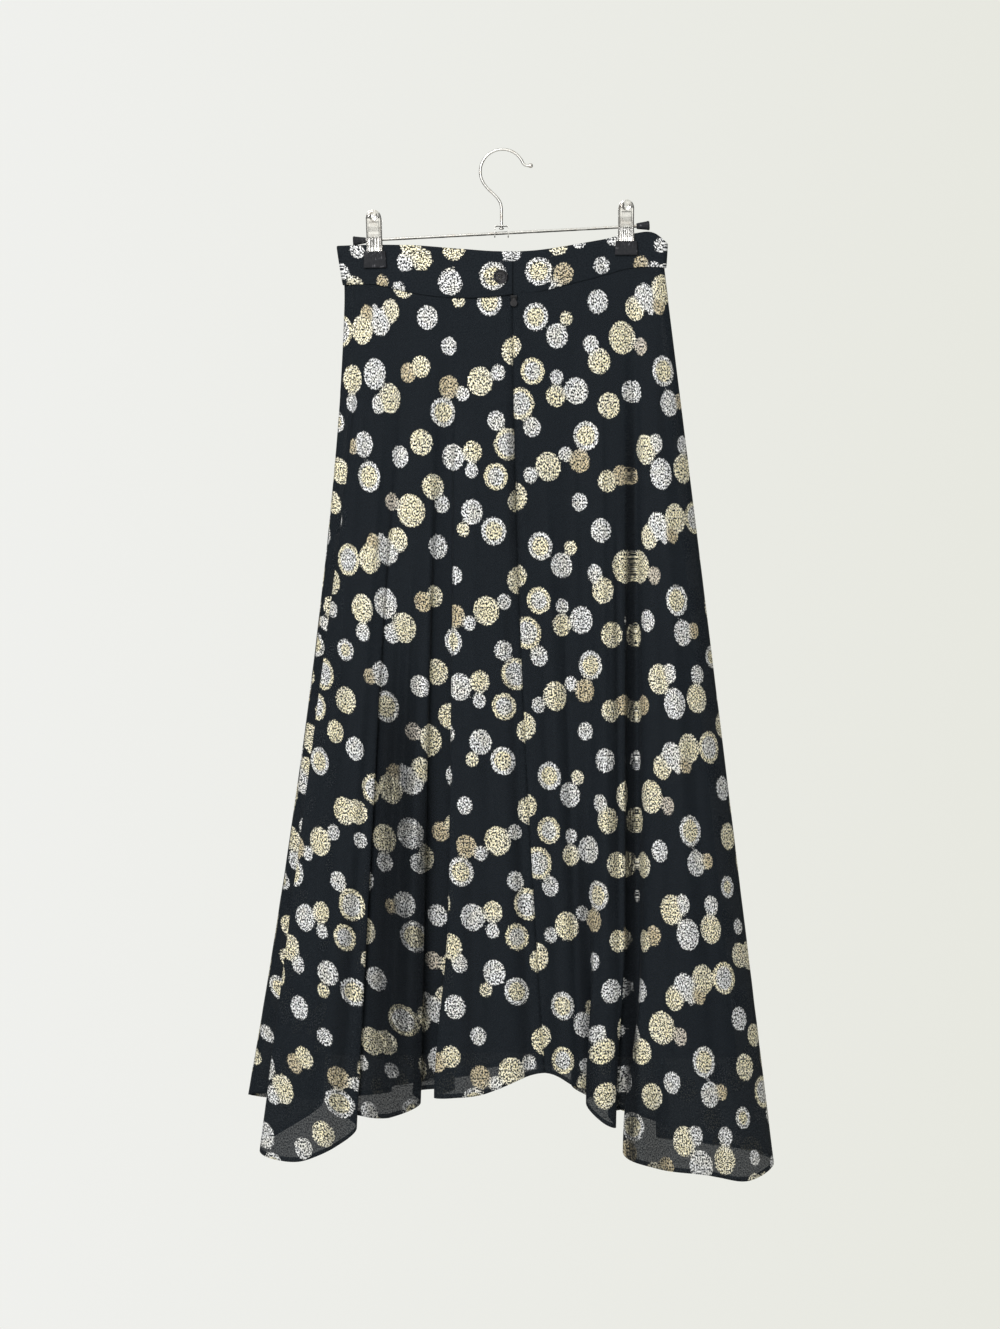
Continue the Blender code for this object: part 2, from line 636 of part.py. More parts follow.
def add_waistband(parent):
    rows = []
    columns = band_columns()
    for height in (1.0, 0.5, 0.0):
        row = []
        for x, y, near_right in columns:
            flare = BAND_FLARE_LEFT if x < 0 else BAND_FLARE_RIGHT
            low, top = band_edge(x, "low"), band_edge(x, "top")
            shift = overlap_shift(x, near_right) if y < -WAIST_HALF_DEPTH else 0.0
            wide = 1 + (flare - 1) * height
            row.append((x * wide, y + shift, low + (top - low) * height))
        rows.append(row)
    middle = np.array(rows)
    mesh_data = wall_mesh("waistband", middle, sheet_normals(middle), BAND_WALL)
    add_object("waistband", mesh_data, "chiffon", parent)


# --- turned, swept and flat pieces -------------------------------------------------------
def sweep_mesh(name, route, sides):
    """A closed round tube along a route of wire points in one plane."""
    centres = [Vector((point.x, 0.0, point.z)) for point in route]
    across = Vector((0.0, 1.0, 0.0))

    def build(bm):
        rings = []
        for i, centre in enumerate(centres):
            ahead = centres[min(i + 1, len(centres) - 1)] - centres[max(i - 1, 0)]
            side = ahead.normalized().cross(across)
            ring = []
            for k in range(sides):
                angle = 2 * math.pi * k / sides
                spread = side * math.cos(angle) + across * math.sin(angle)
                ring.append(bm.verts.new((centre + spread * route[i].radius) * MM))
            rings.append(ring)
        for one, two in zip(rings, rings[1:]):
            for k in range(sides):
                bm.faces.new((one[k], one[(k + 1) % sides], two[(k + 1) % sides], two[k]))
        bm.faces.new(rings[0][::-1])
        bm.faces.new(rings[-1])

    return mesh_from(name, build)


def turned_mesh(name, profile, sides):
    """A body turned about X from a closed profile of (x, radius) points off the axis, or
    an open one whose two ends are on the axis."""

    def build(bm):
        rings = []
        for x, radius in profile:
            if radius == 0.0:
                rings.append([bm.verts.new((x * MM, 0.0, 0.0))])
                continue
            ring = []
            for k in range(sides):
                angle = 2 * math.pi * k / sides
                y, z = radius * math.cos(angle), radius * math.sin(angle)
                ring.append(bm.verts.new((x * MM, y * MM, z * MM)))
            rings.append(ring)
        pairs = list(zip(rings, rings[1:]))
        if profile[0][1] > 0.0:
            pairs.append((rings[-1], rings[0]))
        for one, two in pairs:
            for k in range(sides):
                m = (k + 1) % sides
                corners = [one[k % len(one)], one[m % len(one)]]
                corners += [two[m % len(two)], two[k % len(two)]]
                bm.faces.new(list(dict.fromkeys(corners)))

    return mesh_from(name, build)


def tube_profile(half, bore, radius):
    return [(-half, bore), (-half, radius), (half, radius), (half, bore)]


def rod_profile(half, radius):
    return tube_profile(half, 0.0, radius)


def plate_mesh(name, outline, front_y, back_y):
    """A flat plate: an outline of (x, z) points, from one depth to another."""

    def build(bm):
        front = bm.faces.new([bm.verts.new((x * MM, front_y * MM, z * MM)) for x, z in outline])
        made = bmesh.ops.extrude_face_region(bm, geom=[front])
        moved = [part for part in made["geom"] if isinstance(part, bmesh.types.BMVert)]
        bmesh.ops.translate(bm, vec=(0.0, (back_y - front_y) * MM, 0.0), verts=moved)

    return mesh_from(name, build)


def box_mesh(name, size, bevel=0.0):
    def build(bm):
        bmesh.ops.create_cube(bm, size=1.0)
        for vert in bm.verts:
            vert.co = Vector([vert.co[k] * size[k] * MM for k in range(3)])
        if bevel:
            bmesh.ops.bevel(
                bm, geom=bm.edges[:], offset=bevel * MM, segments=1, affect="EDGES"
            )

    return mesh_from(name, build)


def shape_with(thing, operation, name, mesh_data, place, parent, turn=(0.0, 0.0, 0.0)):
    """Cuts a shape out of a piece (DIFFERENCE) or joins it to the piece (UNION)."""
    tool = bpy.data.objects.new(name, mesh_data)
    bpy.context.scene.collection.objects.link(tool)
    tool.parent = parent
    tool.location = [value * MM for value in place]
    tool.rotation_euler = turn
    tool.hide_render = True
    tool.display_type = "WIRE"
    change = thing.modifiers.new(name, "BOOLEAN")
    change.operation = operation
    change.object = tool


# --- the hanger's pieces -----------------------------------------------------------------
def hook_route():
    """The hook's wire from its riveted foot up the stem and round to the tip."""
    radius = HOOK_WIRE / 2
    arc = []
    for k in range(HOOK_ARC_STEPS + 1):
        turn = (HOOK_ARC_END - HOOK_ARC_START) * k / HOOK_ARC_STEPS
        angle = math.radians(HOOK_ARC_START + turn)
        x = HOOK_RADIUS * math.cos(angle)
        z = radius - HOOK_RADIUS + HOOK_RADIUS * math.sin(angle)
        arc.append(WirePoint(x, z, radius))
    return HOOK_STEM + arc + HOOK_TIP


def bar_height(x):
    return BAR_CENTRE_Z + (x - BAR_CENTRE_X) * math.tan(BAR_TILT)


def add_hook(parent):
    add_object("hook", sweep_mesh("hook", hook_route(), HOOK_SIDES), "chrome", parent)


def on_the_bar(thing, x):
    """Places a turned piece on the bar's axis, tilted with it."""
    thing.location = (x * MM, 0.0, bar_height(x) * MM)
    thing.rotation_euler = (0.0, -BAR_TILT, 0.0)


def add_bar(parent):
    length = (BAR_RIGHT_X - BAR_LEFT_X) / math.cos(BAR_TILT)
    profile = rod_profile(length / 2, BAR_DIAMETER / 2)
    bar = add_object("bar", turned_mesh("bar", profile, ROUND_SIDES), "chrome", parent)
    on_the_bar(bar, (BAR_LEFT_X + BAR_RIGHT_X) / 2)


def add_cap(name, end_x, outwards, parent):
    """A rubber cap pushed over one end of the bar, wider at its outer end."""
    profile = [(point.x * outwards, point.radius) for point in CAP_PROFILE]
    cap = add_object(name, turned_mesh(name, profile, ROUND_SIDES), "rubber", parent)
    on_the_bar(cap, end_x)


def add_yoke(parent):
    """A bent strap: a top plate for the hook's foot and two legs that the bar runs through."""
    half, low = YOKE_WIDTH / 2, YOKE_TOP_Z - YOKE_HEIGHT
    inner_half, inner_top = half - YOKE_SHEET, YOKE_TOP_Z - YOKE_SHEET
    outline = [
        (-half, low),
        (-half, YOKE_TOP_Z),
        (half, YOKE_TOP_Z),
        (half, low),
        (inner_half, low),
        (inner_half, inner_top),
        (-inner_half, inner_top),
        (-inner_half, low),
    ]
    mesh_data = plate_mesh("yoke", outline, -YOKE_DEPTH / 2, YOKE_DEPTH / 2)
    yoke = add_object("yoke", mesh_data, "chrome", parent)
    yoke.location = (BAR_CENTRE_X * MM, 0.0, 0.0)
    for_bar = rod_profile(half + CUTTER_REACH, BAR_DIAMETER / 2 + SEAM_GAP)
    shape_with(
        yoke,
        "DIFFERENCE",
        "yoke_bar_bore",
        turned_mesh("yoke_bar_bore", for_bar, ROUND_SIDES),
        (BAR_CENTRE_X, 0.0, BAR_CENTRE_Z),
        parent,
        (0.0, -BAR_TILT, 0.0),
    )
    for_stem = rod_profile(CUTTER_REACH / 2, HOOK_WIRE / 2 + SEAM_GAP)
    shape_with(
        yoke,
        "DIFFERENCE",
        "yoke_stem_bore",
        turned_mesh("yoke_stem_bore", for_stem, ROUND_SIDES),
        (BAR_CENTRE_X, 0.0, YOKE_TOP_Z),
        parent,
        (0.0, math.pi / 2, 0.0),
    )


def plate_rows():
    """A clip plate's outline from its foot to its round top: height, half width and y."""
    rows = []
    for row in PLATE_ROWS:
        narrowed = min(row.share / CLIP_NARROWED, 1.0)
        half = CLIP_HALF_WIDTH_LOW + (CLIP_HALF_WIDTH - CLIP_HALF_WIDTH_LOW) * narrowed
        rows.append((row.share * CLIP_PLATE_HEIGHT, half, row.y))
    straight, _, last_y = rows[-1]
    radius = CLIP_PLATE_HEIGHT - straight
    for k in range(1, CLIP_TOP_STEPS + 1):
        angle = math.radians(CLIP_TOP_TURN * k / CLIP_TOP_STEPS)
        up = radius * math.sin(angle)
        rows.append((straight + up, CLIP_HALF_WIDTH * math.cos(angle), last_y + up * CLIP_TOP_LEAN))
    return rows


def add_clip_plate(name, side, holder):
    """One steel plate of a clip, with its round hole. side is -1 in front, 1 behind."""
    rows = plate_rows()
    points = []
    for z, half, y in reversed(rows):
        points.append([(half * across, side * y, z) for across in (-1, -0.5, 0, 0.5, 1)])
    middle = np.array(points)
    mesh_data = wall_mesh(name, middle, sheet_normals(middle), CLIP_SHEET)
    plate = add_object(name, mesh_data, "chrome", holder)
    profile = rod_profile(CUTTER_REACH, CLIP_HOLE / 2)
    hole_y = side * rows[len(PLATE_ROWS)][2]
    shape_with(
        plate,
        "DIFFERENCE",
        name + "_hole",
        turned_mesh(name + "_hole", profile, ROUND_SIDES),
        (0.0, hole_y, CLIP_PLATE_HEIGHT - CLIP_HOLE_DROP),
        holder,
        (0.0, 0.0, math.pi / 2),
    )


def add_clip_jaw(name, side, height, holder):
    mesh_data = box_mesh(name, (JAW_WIDTH, JAW_THICK, height), JAW_BEVEL)
    jaw = add_object(name, mesh_data, "rubber", holder)
    grip = WAIST_HALF_DEPTH + BAND_WALL / 2 + SEAM_GAP
    jaw.location = (0.0, side * (grip + JAW_THICK / 2) * MM, -(SEAM_GAP + height / 2) * MM)


def add_clip(clip, parent):
    """One spring clip: two steel plates, two rubber jaws and the spring round the bar."""
    holder = bpy.data.objects.new(clip.name + "_at", None)
    bpy.context.scene.collection.objects.link(holder)
    holder.parent = parent
    holder.location = (clip.x * MM, 0.0, clip.plate_low_z * MM)
    holder.rotation_euler = (0.0, -clip.tilt, 0.0)
    jaw_height = clip.plate_low_z - clip.jaw_low_z - SEAM_GAP
    for where, side in (("front", -1), ("back", 1)):
        add_clip_plate(f"{clip.name}_{where}_plate", side, holder)
        add_clip_jaw(f"{clip.name}_{where}_jaw", side, jaw_height, holder)
    name = clip.name + "_spring"
    profile = tube_profile(SPRING_LENGTH / 2, BAR_DIAMETER / 2 + SEAM_GAP, SPRING_RADIUS)
    spring = add_object(name, turned_mesh(name, profile, ROUND_SIDES), "chrome", parent)
    on_the_bar(spring, clip.x)


def add_hanger(parent):
    add_hook(parent)
    add_yoke(parent)
    add_bar(parent)
    add_cap("cap_left", BAR_LEFT_X, -1, parent)
    add_cap("cap_right", BAR_RIGHT_X, 1, parent)
    for clip in CLIPS:
        add_clip(clip, parent)


# --- the fastenings ----------------------------------------------------------------------
def add_button(parent):
    """A four-hole button with a raised rim, flat on the upper end of the band."""
    band_middle = waist_depth(BUTTON_X, -1, WAIST_HALF_DEPTH, NEAR_BULGE) - OVERLAP_SHIFT
    back = band_middle - BAND_WALL / 2 - SEAM_GAP
    mesh_data = turned_mesh("button", BUTTON_PROFILE, BUTTON_SIDES)
    button = add_object("button", mesh_data, "button", parent)
    button.location = (BUTTON_X * MM, back * MM, BUTTON_Z * MM)
    button.rotation_euler = (0.0, 0.0, -math.pi / 2)
    bore = rod_profile(CUTTER_REACH, BUTTON_HOLE / 2)
    half = BUTTON_HOLE_PITCH / 2
    places = [(0.0, y, z) for z in (-half, half) for y in (-half, half)]
    for number, place in enumerate(places, 1):
        name = f"button_hole_{number}"
        hole = turned_mesh(name, bore, BUTTON_HOLE_SIDES)
        shape_with(button, "DIFFERENCE", name, hole, place, button)


def slider_back():
    """Depth of the slider's back, just clear of the skirt's outer face."""
    return waist_depth(ZIP_X, -1, WAIST_HALF_DEPTH, NEAR_BULGE) - SHELL_WALL / 2 - SEAM_GAP


def add_zip_slider(parent):
    """The slider: a small plate on the seam with two lugs that hold the pull's barrel."""
    lug_inner = BARREL_LENGTH / 2 + SEAM_GAP
    half = lug_inner + LUG_WIDE + LUG_MARGIN
    outline = [
        (-half, SLIDER_TOP),
        (half, SLIDER_TOP),
        (half, SLIDER_WAIST),
        (SLIDER_FOOT_HALF, SLIDER_FOOT),
        (-SLIDER_FOOT_HALF, SLIDER_FOOT),
        (-half, SLIDER_WAIST),
    ]
    mesh_data = plate_mesh("zip_slider", outline, -SLIDER_PLATE, 0.0)
    slider = add_object("zip_slider", mesh_data, "zip_metal", parent)
    slider.location = (ZIP_X * MM, slider_back() * MM, PULL_HINGE_Z * MM)
    lug = (LUG_WIDE, LUG_REACH + LUG_OVERLAP, LUG_HEIGHT)
    lug_y = -SLIDER_PLATE + LUG_OVERLAP - lug[1] / 2
    for number, side in enumerate((-1, 1), 1):
        name = f"slider_lug_{number}"
        place = (side * (lug_inner + LUG_WIDE / 2), lug_y, 0.0)
        shape_with(slider, "UNION", name, box_mesh(name, lug), place, slider)


def drop_outline():
    """The pull's teardrop: a narrow neck at the barrel, shoulders and a round end."""
    wide = PULL_WIDTH / 2
    centre = wide - PULL_LENGTH
    neck = PULL_BARREL / 4
    outline = [(-PULL_NECK_HALF, neck), (-PULL_SHOULDER_HALF, centre / 2)]
    for k in range(ROUND_SIDES + 1):
        angle = math.radians(PULL_DROP_START + PULL_DROP_TURN * k / ROUND_SIDES)
        outline.append((wide * math.cos(angle), centre + wide * math.sin(angle)))
    return outline + [(PULL_SHOULDER_HALF, centre / 2), (PULL_NECK_HALF, neck)]


def add_zip_pull(parent):
    """The teardrop pull, hung by its barrel between the slider's lugs."""
    barrel = turned_mesh("zip_pull", rod_profile(BARREL_LENGTH / 2, PULL_BARREL / 2), ROUND_SIDES)
    pull = add_object("zip_pull", barrel, "zip_metal", parent)
    hinge_y = slider_back() - SLIDER_PLATE - LUG_REACH * LUG_AXIS_SHARE
    pull.location = (ZIP_X * MM, hinge_y * MM, PULL_HINGE_Z * MM)
    drop = plate_mesh("pull_drop", drop_outline(), -PULL_SHEET / 2, PULL_SHEET / 2)
    shape_with(pull, "UNION", "pull_drop", drop, (0.0, 0.0, 0.0), pull)


def main():
    clear_scene()
    skirt = bpy.data.objects.new("skirt_at", None)
    hanger = bpy.data.objects.new("hanger_at", None)
    for empty in (skirt, hanger):
        bpy.context.scene.collection.objects.link(empty)
    add_waistband(skirt)
    add_skirt(skirt)
    add_lining(skirt)
    add_button(skirt)
    add_zip_slider(skirt)
    add_zip_pull(skirt)
    add_hanger(hanger)


main()
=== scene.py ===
"""Looks for a long flared chiffon skirt on a clip hanger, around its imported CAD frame.

Metres, +Z up, and the side with the zip faces -Y. The tables are in millimetres. The rows
of the folds, the lining and the waistband are those of the CAD part.
"""

import math
from collections import namedtuple

import bpy
import numpy as np
from mathutils import Matrix, Vector, noise

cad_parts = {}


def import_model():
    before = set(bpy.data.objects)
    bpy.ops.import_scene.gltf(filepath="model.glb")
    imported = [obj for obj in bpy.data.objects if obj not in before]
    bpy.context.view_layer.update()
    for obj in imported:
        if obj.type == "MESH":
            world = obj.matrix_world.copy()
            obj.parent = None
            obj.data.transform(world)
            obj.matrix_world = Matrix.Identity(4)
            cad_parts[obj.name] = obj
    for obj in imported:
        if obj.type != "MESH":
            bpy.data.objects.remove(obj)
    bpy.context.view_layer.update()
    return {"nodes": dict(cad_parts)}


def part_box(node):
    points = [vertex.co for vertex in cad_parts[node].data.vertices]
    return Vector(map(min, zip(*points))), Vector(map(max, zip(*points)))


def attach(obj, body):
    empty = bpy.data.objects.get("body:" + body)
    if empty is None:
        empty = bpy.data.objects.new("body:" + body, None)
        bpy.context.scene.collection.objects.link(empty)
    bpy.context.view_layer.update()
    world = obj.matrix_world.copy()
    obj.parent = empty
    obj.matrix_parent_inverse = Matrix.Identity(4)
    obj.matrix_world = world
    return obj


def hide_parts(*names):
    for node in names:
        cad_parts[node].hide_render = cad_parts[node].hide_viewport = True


MM = 0.001

# --- the cloth's form, as in the CAD part ------------------------------------------------
WAIST_GAP = 0.45  # from the band's low edge down to the cloth
WAIST_HALF_DEPTH = 2.6
NEAR_BULGE = 4.0  # how far the waist stands out between the clips
FAR_BULGE = 3.0
LINING_HALF_DEPTH = 1.15
LINING_BULGE = 2.5
BULGE_HALF_WIDTH = 100.0
BAND_FLARE_LEFT = 1.040  # the band's top edge lies this much further out than its low edge
BAND_FLARE_RIGHT = 1.010
OVERLAP_END_X = 9.8
UNDERLAP_END_X = -24.0
OVERLAP_SHIFT = 1.05  # the overlap's two layers part by this much each way
OVERLAP_MARGIN = 4.0  # and come back together from here on,
OVERLAP_EASE = 34.0  # over this length
FLICK_START = 0.76  # the share of the length from where a line swings sideways
DEPTH_POWER = 1.6  # how soon a fold reaches its depth
FINE = 16  # columns of points from each line to the next
SOFT_AT_WAIST = 0.7  # how far round each point the cloth is softened
SOFT_AT_HEM = 2.4

SHELL_ROWS = 250  # rows of points from the waist to the hem
LINING_ROWS = 90
SIDE_CALM = 2.0 * FINE  # creases fade out over these columns beside a side seam
SHELL_SEED = 3.0
LINING_SEED = 11.0
BAND_STEP = 1.6
BAND_TURN = range(15, 180, 15)  # degrees round its two side edges
TUCK = 3.0  # how far the skirt runs up into the band

Edge = namedtuple("Edge", "x top low")
BAND_EDGES = [
    Edge(-159.0, -95.3, -134.4),
    Edge(-126.0, -94.3, -134.6),
    Edge(-92.5, -94.6, -142.6),
    Edge(-40.0, -98.8, -148.2),
    Edge(-6.5, -101.2, -146.6),
    Edge(9.8, -101.3, -144.6),
    Edge(44.5, -98.8, -140.0),
    Edge(62.5, -95.8, -135.4),
    Edge(97.5, -89.3, -126.3),
    Edge(128.0, -83.2, -118.0),
    Edge(152.0, -83.4, -116.6),
    Edge(163.0, -92.5, -117.4),
]

# a fold's line from the waist to the hem: power bends its way out, and flick swings its
# end sideways
LINE_FIELDS = "waist_x hem_x hem_y hem_z power flick"
Line = namedtuple("Line", LINE_FIELDS, defaults=(1.0, 0.0))
LEFT_SIDE = Line(-159.0, -256.0, 6.0, -944.0, 1.5)
SEAM_LINE = Line(10.0, 42.5, -21.0, -920.0, 1.7)
RIGHT_SIDE = Line(163.0, 271.8, -1.0, -1012.0)
NEAR_LEFT = [
    Line(-145.5, -178.5, -5.0, -950.0),
    Line(-130.5, -242.0, -24.0, -997.0),
    Line(-116.0, -200.0, -33.5, -1006.5),
    Line(-102.0, -144.0, -27.5, -974.0),
    Line(-90.5, -158.5, -17.0, -961.0),
    Line(-78.5, -117.5, -24.5, -965.0),
    Line(-65.5, -80.5, -18.0, -950.0),
    Line(-56.5, -90.5, -9.0, -941.0),
    Line(-51.5, -46.5, -6.0, -938.0),
    Line(-45.5, -57.5, -19.0, -945.0, 1.0, -12.0),
    Line(-22.5, -22.5, -25.0, -942.0),
]
NEAR_RIGHT = [
    Line(42.5, 74.5, -17.0, -935.0, 1.3),
    Line(72.5, 87.5, -10.5, -938.0, 1.0, 10.0),
    Line(89.5, 93.5, -22.0, -949.0, 1.0, -11.0),
    Line(107.5, 103.0, -26.0, -969.5, 1.0, -3.0),
    Line(121.5, 122.0, -20.5, -975.0, 1.0, -8.0),
    Line(126.0, 122.0, -12.0, -962.0, 1.0, -17.0),
    Line(132.0, 134.0, -5.0, -961.0, 1.0, 4.0),
    Line(138.5, 145.5, -24.0, -1000.0, 1.0, -26.0),
    Line(144.5, 161.5, -31.0, -1014.0, 1.0, -8.0),
    Line(150.0, 201.5, -33.5, -1020.0),
    Line(156.5, 244.5, -25.0, -1027.0),
]
FAR = [
    Line(154.0, 250.0, 26.0, -1004.0),
    Line(140.0, 197.5, 33.5, -996.0),
    Line(121.0, 153.5, 27.0, -989.0),
    Line(110.5, 169.5, 17.5, -980.0),
    Line(86.5, 114.5, 30.0, -961.0),
    Line(58.5, 68.5, 28.0, -937.0),
    Line(49.5, 83.5, 17.5, -927.0),
    Line(18.5, 24.5, 22.0, -916.0),
    Line(-10.5, -42.5, 17.5, -925.0),
    Line(-19.5, -28.5, 27.0, -927.0),
    Line(-42.5, -74.5, 33.0, -934.0),
    Line(-66.5, -122.5, 17.5, -940.0),
    Line(-76.5, -110.5, 28.0, -944.0),
    Line(-100.5, -155.5, 33.5, -950.0),
    Line(-122.5, -198.5, 27.0, -951.0),
    Line(-146.0, -238.5, 21.0, -949.0, 1.2),
]
LINING_LEFT = Line(-150.0, -221.0, 9.0, -902.0, 1.5)
LINING_RIGHT = Line(153.0, 236.0, 7.0, -906.0)
LINING_NEAR = [
    Line(-148.2, -214.0, 4.6, -902.5, 1.5),
    Line(-136.0, -197.0, 2.6, -903.0, 1.3),
    Line(-100.0, -140.0, 1.2, -905.0),
    Line(-55.0, -75.0, 2.4, -904.0),
    Line(-10.0, -12.0, 1.3, -902.0),
    Line(35.0, 50.0, 2.4, -903.0),
    Line(72.0, 99.0, 1.3, -906.0),
    Line(98.0, 136.0, 1.9, -907.0),
    Line(122.0, 172.0, 2.3, -908.0),
    Line(141.0, 215.0, 2.0, -907.0),
    Line(151.2, 231.0, 3.6, -906.5),
]
LINING_FAR = [
    Line(151.2, 231.0, 10.6, -906.5),
    Line(141.0, 215.0, 12.0, -907.0),
    Line(105.0, 150.0, 11.6, -908.0),
    Line(50.0, 65.0, 12.4, -905.0),
    Line(0.0, 0.0, 11.7, -903.0),
    Line(-50.0, -68.0, 12.4, -904.0),
    Line(-100.0, -140.0, 11.8, -905.0),
    Line(-136.0, -197.0, 12.6, -903.0, 1.3),
    Line(-148.2, -214.0, 12.2, -902.5, 1.5),
]
SEAM_NUMBER = 1 + len(NEAR_LEFT)
RIGHT_NUMBER = SEAM_NUMBER + 1 + len(NEAR_RIGHT)

# --- soft creases: one row is one fall of cloth ------------------------------------------
# x at the waist and at the hem, from and to as shares of the length, half width at the
# hem, and how far it stands out (in, where negative).
Crease = namedtuple("Crease", "waist_x hem_x start end width depth")
NEAR_CREASES = [
    Crease(-152.0, -238.0, 0.10, 0.95, 9.0, 1.8),
    Crease(-139.0, -224.0, 0.22, 1.00, 7.0, -1.6),
    Crease(-127.0, -212.0, 0.05, 0.70, 8.0, 1.7),
    Crease(-120.0, -187.0, 0.35, 1.00, 10.0, -2.4),
    Crease(-109.0, -171.0, 0.12, 0.86, 7.0, 2.0),
    Crease(-104.0, -160.0, 0.44, 1.00, 6.0, -2.2),
    Crease(-95.0, -136.0, 0.20, 0.92, 6.5, 1.9),
    Crease(-88.0, -122.0, 0.32, 1.00, 5.0, -2.6),
    Crease(-80.0, -112.0, 0.28, 1.00, 4.5, 2.2),
    Crease(-72.0, -98.0, 0.38, 0.97, 4.0, -2.0),
    Crease(-66.0, -86.0, 0.15, 0.80, 5.5, 1.6),
    Crease(-42.0, -46.0, 0.30, 1.00, 7.0, -1.8),
    Crease(-30.0, -30.0, 0.08, 0.62, 9.0, 1.5),
    Crease(-18.0, -12.0, 0.46, 1.00, 8.0, -2.1),
    Crease(-6.0, 8.0, 0.52, 1.00, 9.0, 2.2),
    Crease(2.0, 26.0, 0.58, 1.00, 6.0, -1.9),
    Crease(27.0, 58.0, 0.40, 1.00, 7.0, -2.3),
    Crease(36.0, 66.0, 0.18, 0.88, 8.0, 1.9),
    Crease(52.0, 76.0, 0.34, 1.00, 5.0, -2.4),
    Crease(66.0, 88.0, 0.12, 0.74, 8.0, 1.6),
    Crease(80.0, 96.0, 0.28, 1.00, 6.0, -2.0),
    Crease(97.0, 106.0, 0.10, 0.90, 6.0, 1.8),
    Crease(113.0, 117.0, 0.24, 1.00, 4.0, -2.2),
    Crease(147.0, 176.0, 0.30, 0.96, 7.0, -1.8),
    Crease(151.0, 198.0, 0.14, 0.84, 9.0, 1.7),
    Crease(155.0, 221.0, 0.42, 1.00, 8.0, -2.2),
    Crease(159.0, 248.0, 0.20, 0.90, 8.0, 1.5),
]
FAR_CREASES = [
    Crease(-150.0, -236.0, 0.14, 0.92, 8.0, 1.8),
    Crease(-136.0, -218.0, 0.30, 1.00, 7.0, -2.0),
    Crease(-118.0, -184.0, 0.08, 0.78, 9.0, 2.1),
    Crease(-104.0, -168.0, 0.40, 1.00, 7.0, -2.4),
    Crease(-88.0, -136.0, 0.22, 0.95, 6.0, 1.9),
    Crease(-72.0, -101.0, 0.36, 1.00, 6.0, -2.1),
    Crease(-52.0, -84.0, 0.12, 0.70, 8.0, 1.7),
    Crease(-34.0, -54.0, 0.44, 1.00, 7.0, -2.2),
    Crease(-4.0, -18.0, 0.18, 0.86, 8.0, 1.9),
    Crease(8.0, 6.0, 0.34, 1.00, 6.0, -2.3),
    Crease(28.0, 40.0, 0.10, 0.72, 9.0, 1.6),
    Crease(42.0, 56.0, 0.48, 1.00, 6.0, -1.9),
    Crease(66.0, 88.0, 0.20, 0.94, 7.0, 2.0),
    Crease(79.0, 104.0, 0.38, 1.00, 6.0, -2.4),
    Crease(96.0, 128.0, 0.14, 0.80, 8.0, 1.8),
    Crease(116.0, 156.0, 0.30, 1.00, 6.0, -2.0),
    Crease(131.0, 184.0, 0.24, 0.90, 8.0, 1.9),
    Crease(146.0, 214.0, 0.42, 1.00, 8.0, -2.2),
    Crease(157.0, 240.0, 0.16, 0.88, 9.0, 1.6),
]
CREASE_FADE = 0.16  # share of the length over which a crease rises and dies
CREASE_WAIST_WIDTH = 0.45  # its width at the waist, as a share of that at the hem
CRUMPLE = 0.35  # fine unevenness of the cloth
CRUMPLE_SIZE = 17.0
CRUMPLE_GRAIN = (1.0, 2.0, 0.6)  # it runs longer down the cloth

# short puckers beside the zip: height, distance from the seam (left negative), half
# height, depth and slope
Pucker = namedtuple("Pucker", "z away half depth slope")
PUCKERS = [
    Pucker(-158.0, 5.0, 3.2, 0.8, 0.30),
    Pucker(-167.0, -6.0, 3.6, 0.9, 0.20),
    Pucker(-181.0, 6.0, 4.0, 1.0, 0.35),
    Pucker(-192.0, -5.0, 3.4, 0.7, 0.42),
    Pucker(-203.0, 6.5, 4.6, 1.2, 0.25),
    Pucker(-219.0, -6.0, 4.8, 1.1, 0.30),
    Pucker(-226.0, 6.0, 3.8, 0.9, 0.45),
    Pucker(-244.0, 5.0, 5.0, 1.3, 0.32),
    Pucker(-252.0, -7.0, 4.2, 1.0, 0.22),
    Pucker(-268.0, 6.0, 4.4, 1.1, 0.40),
    Pucker(-281.0, -6.0, 5.2, 1.4, 0.35),
    Pucker(-290.0, 7.0, 4.0, 0.9, 0.28),
    Pucker(-309.0, 6.0, 5.4, 1.4, 0.38),
    Pucker(-317.0, -6.5, 4.6, 1.0, 0.30),
    Pucker(-334.0, 6.0, 4.2, 1.1, 0.44),
    Pucker(-346.0, -6.0, 5.4, 1.3, 0.26),
    Pucker(-362.0, 7.0, 5.0, 1.5, 0.34),
    Pucker(-377.0, -6.0, 5.8, 1.2, 0.30),
]
PUCKER_WIDTH = 5.5
SEAM_DIP = 0.9
SEAM_DIP_WIDTH = 1.5
SEAM_ALLOWANCE = 8.0
HEM_TURN = 4.6
FOLD_DEPTH = 0.55  # a turning lies this far behind the cloth
TURN_REACH = 24  # and is looked for within this many rows or columns of the edge

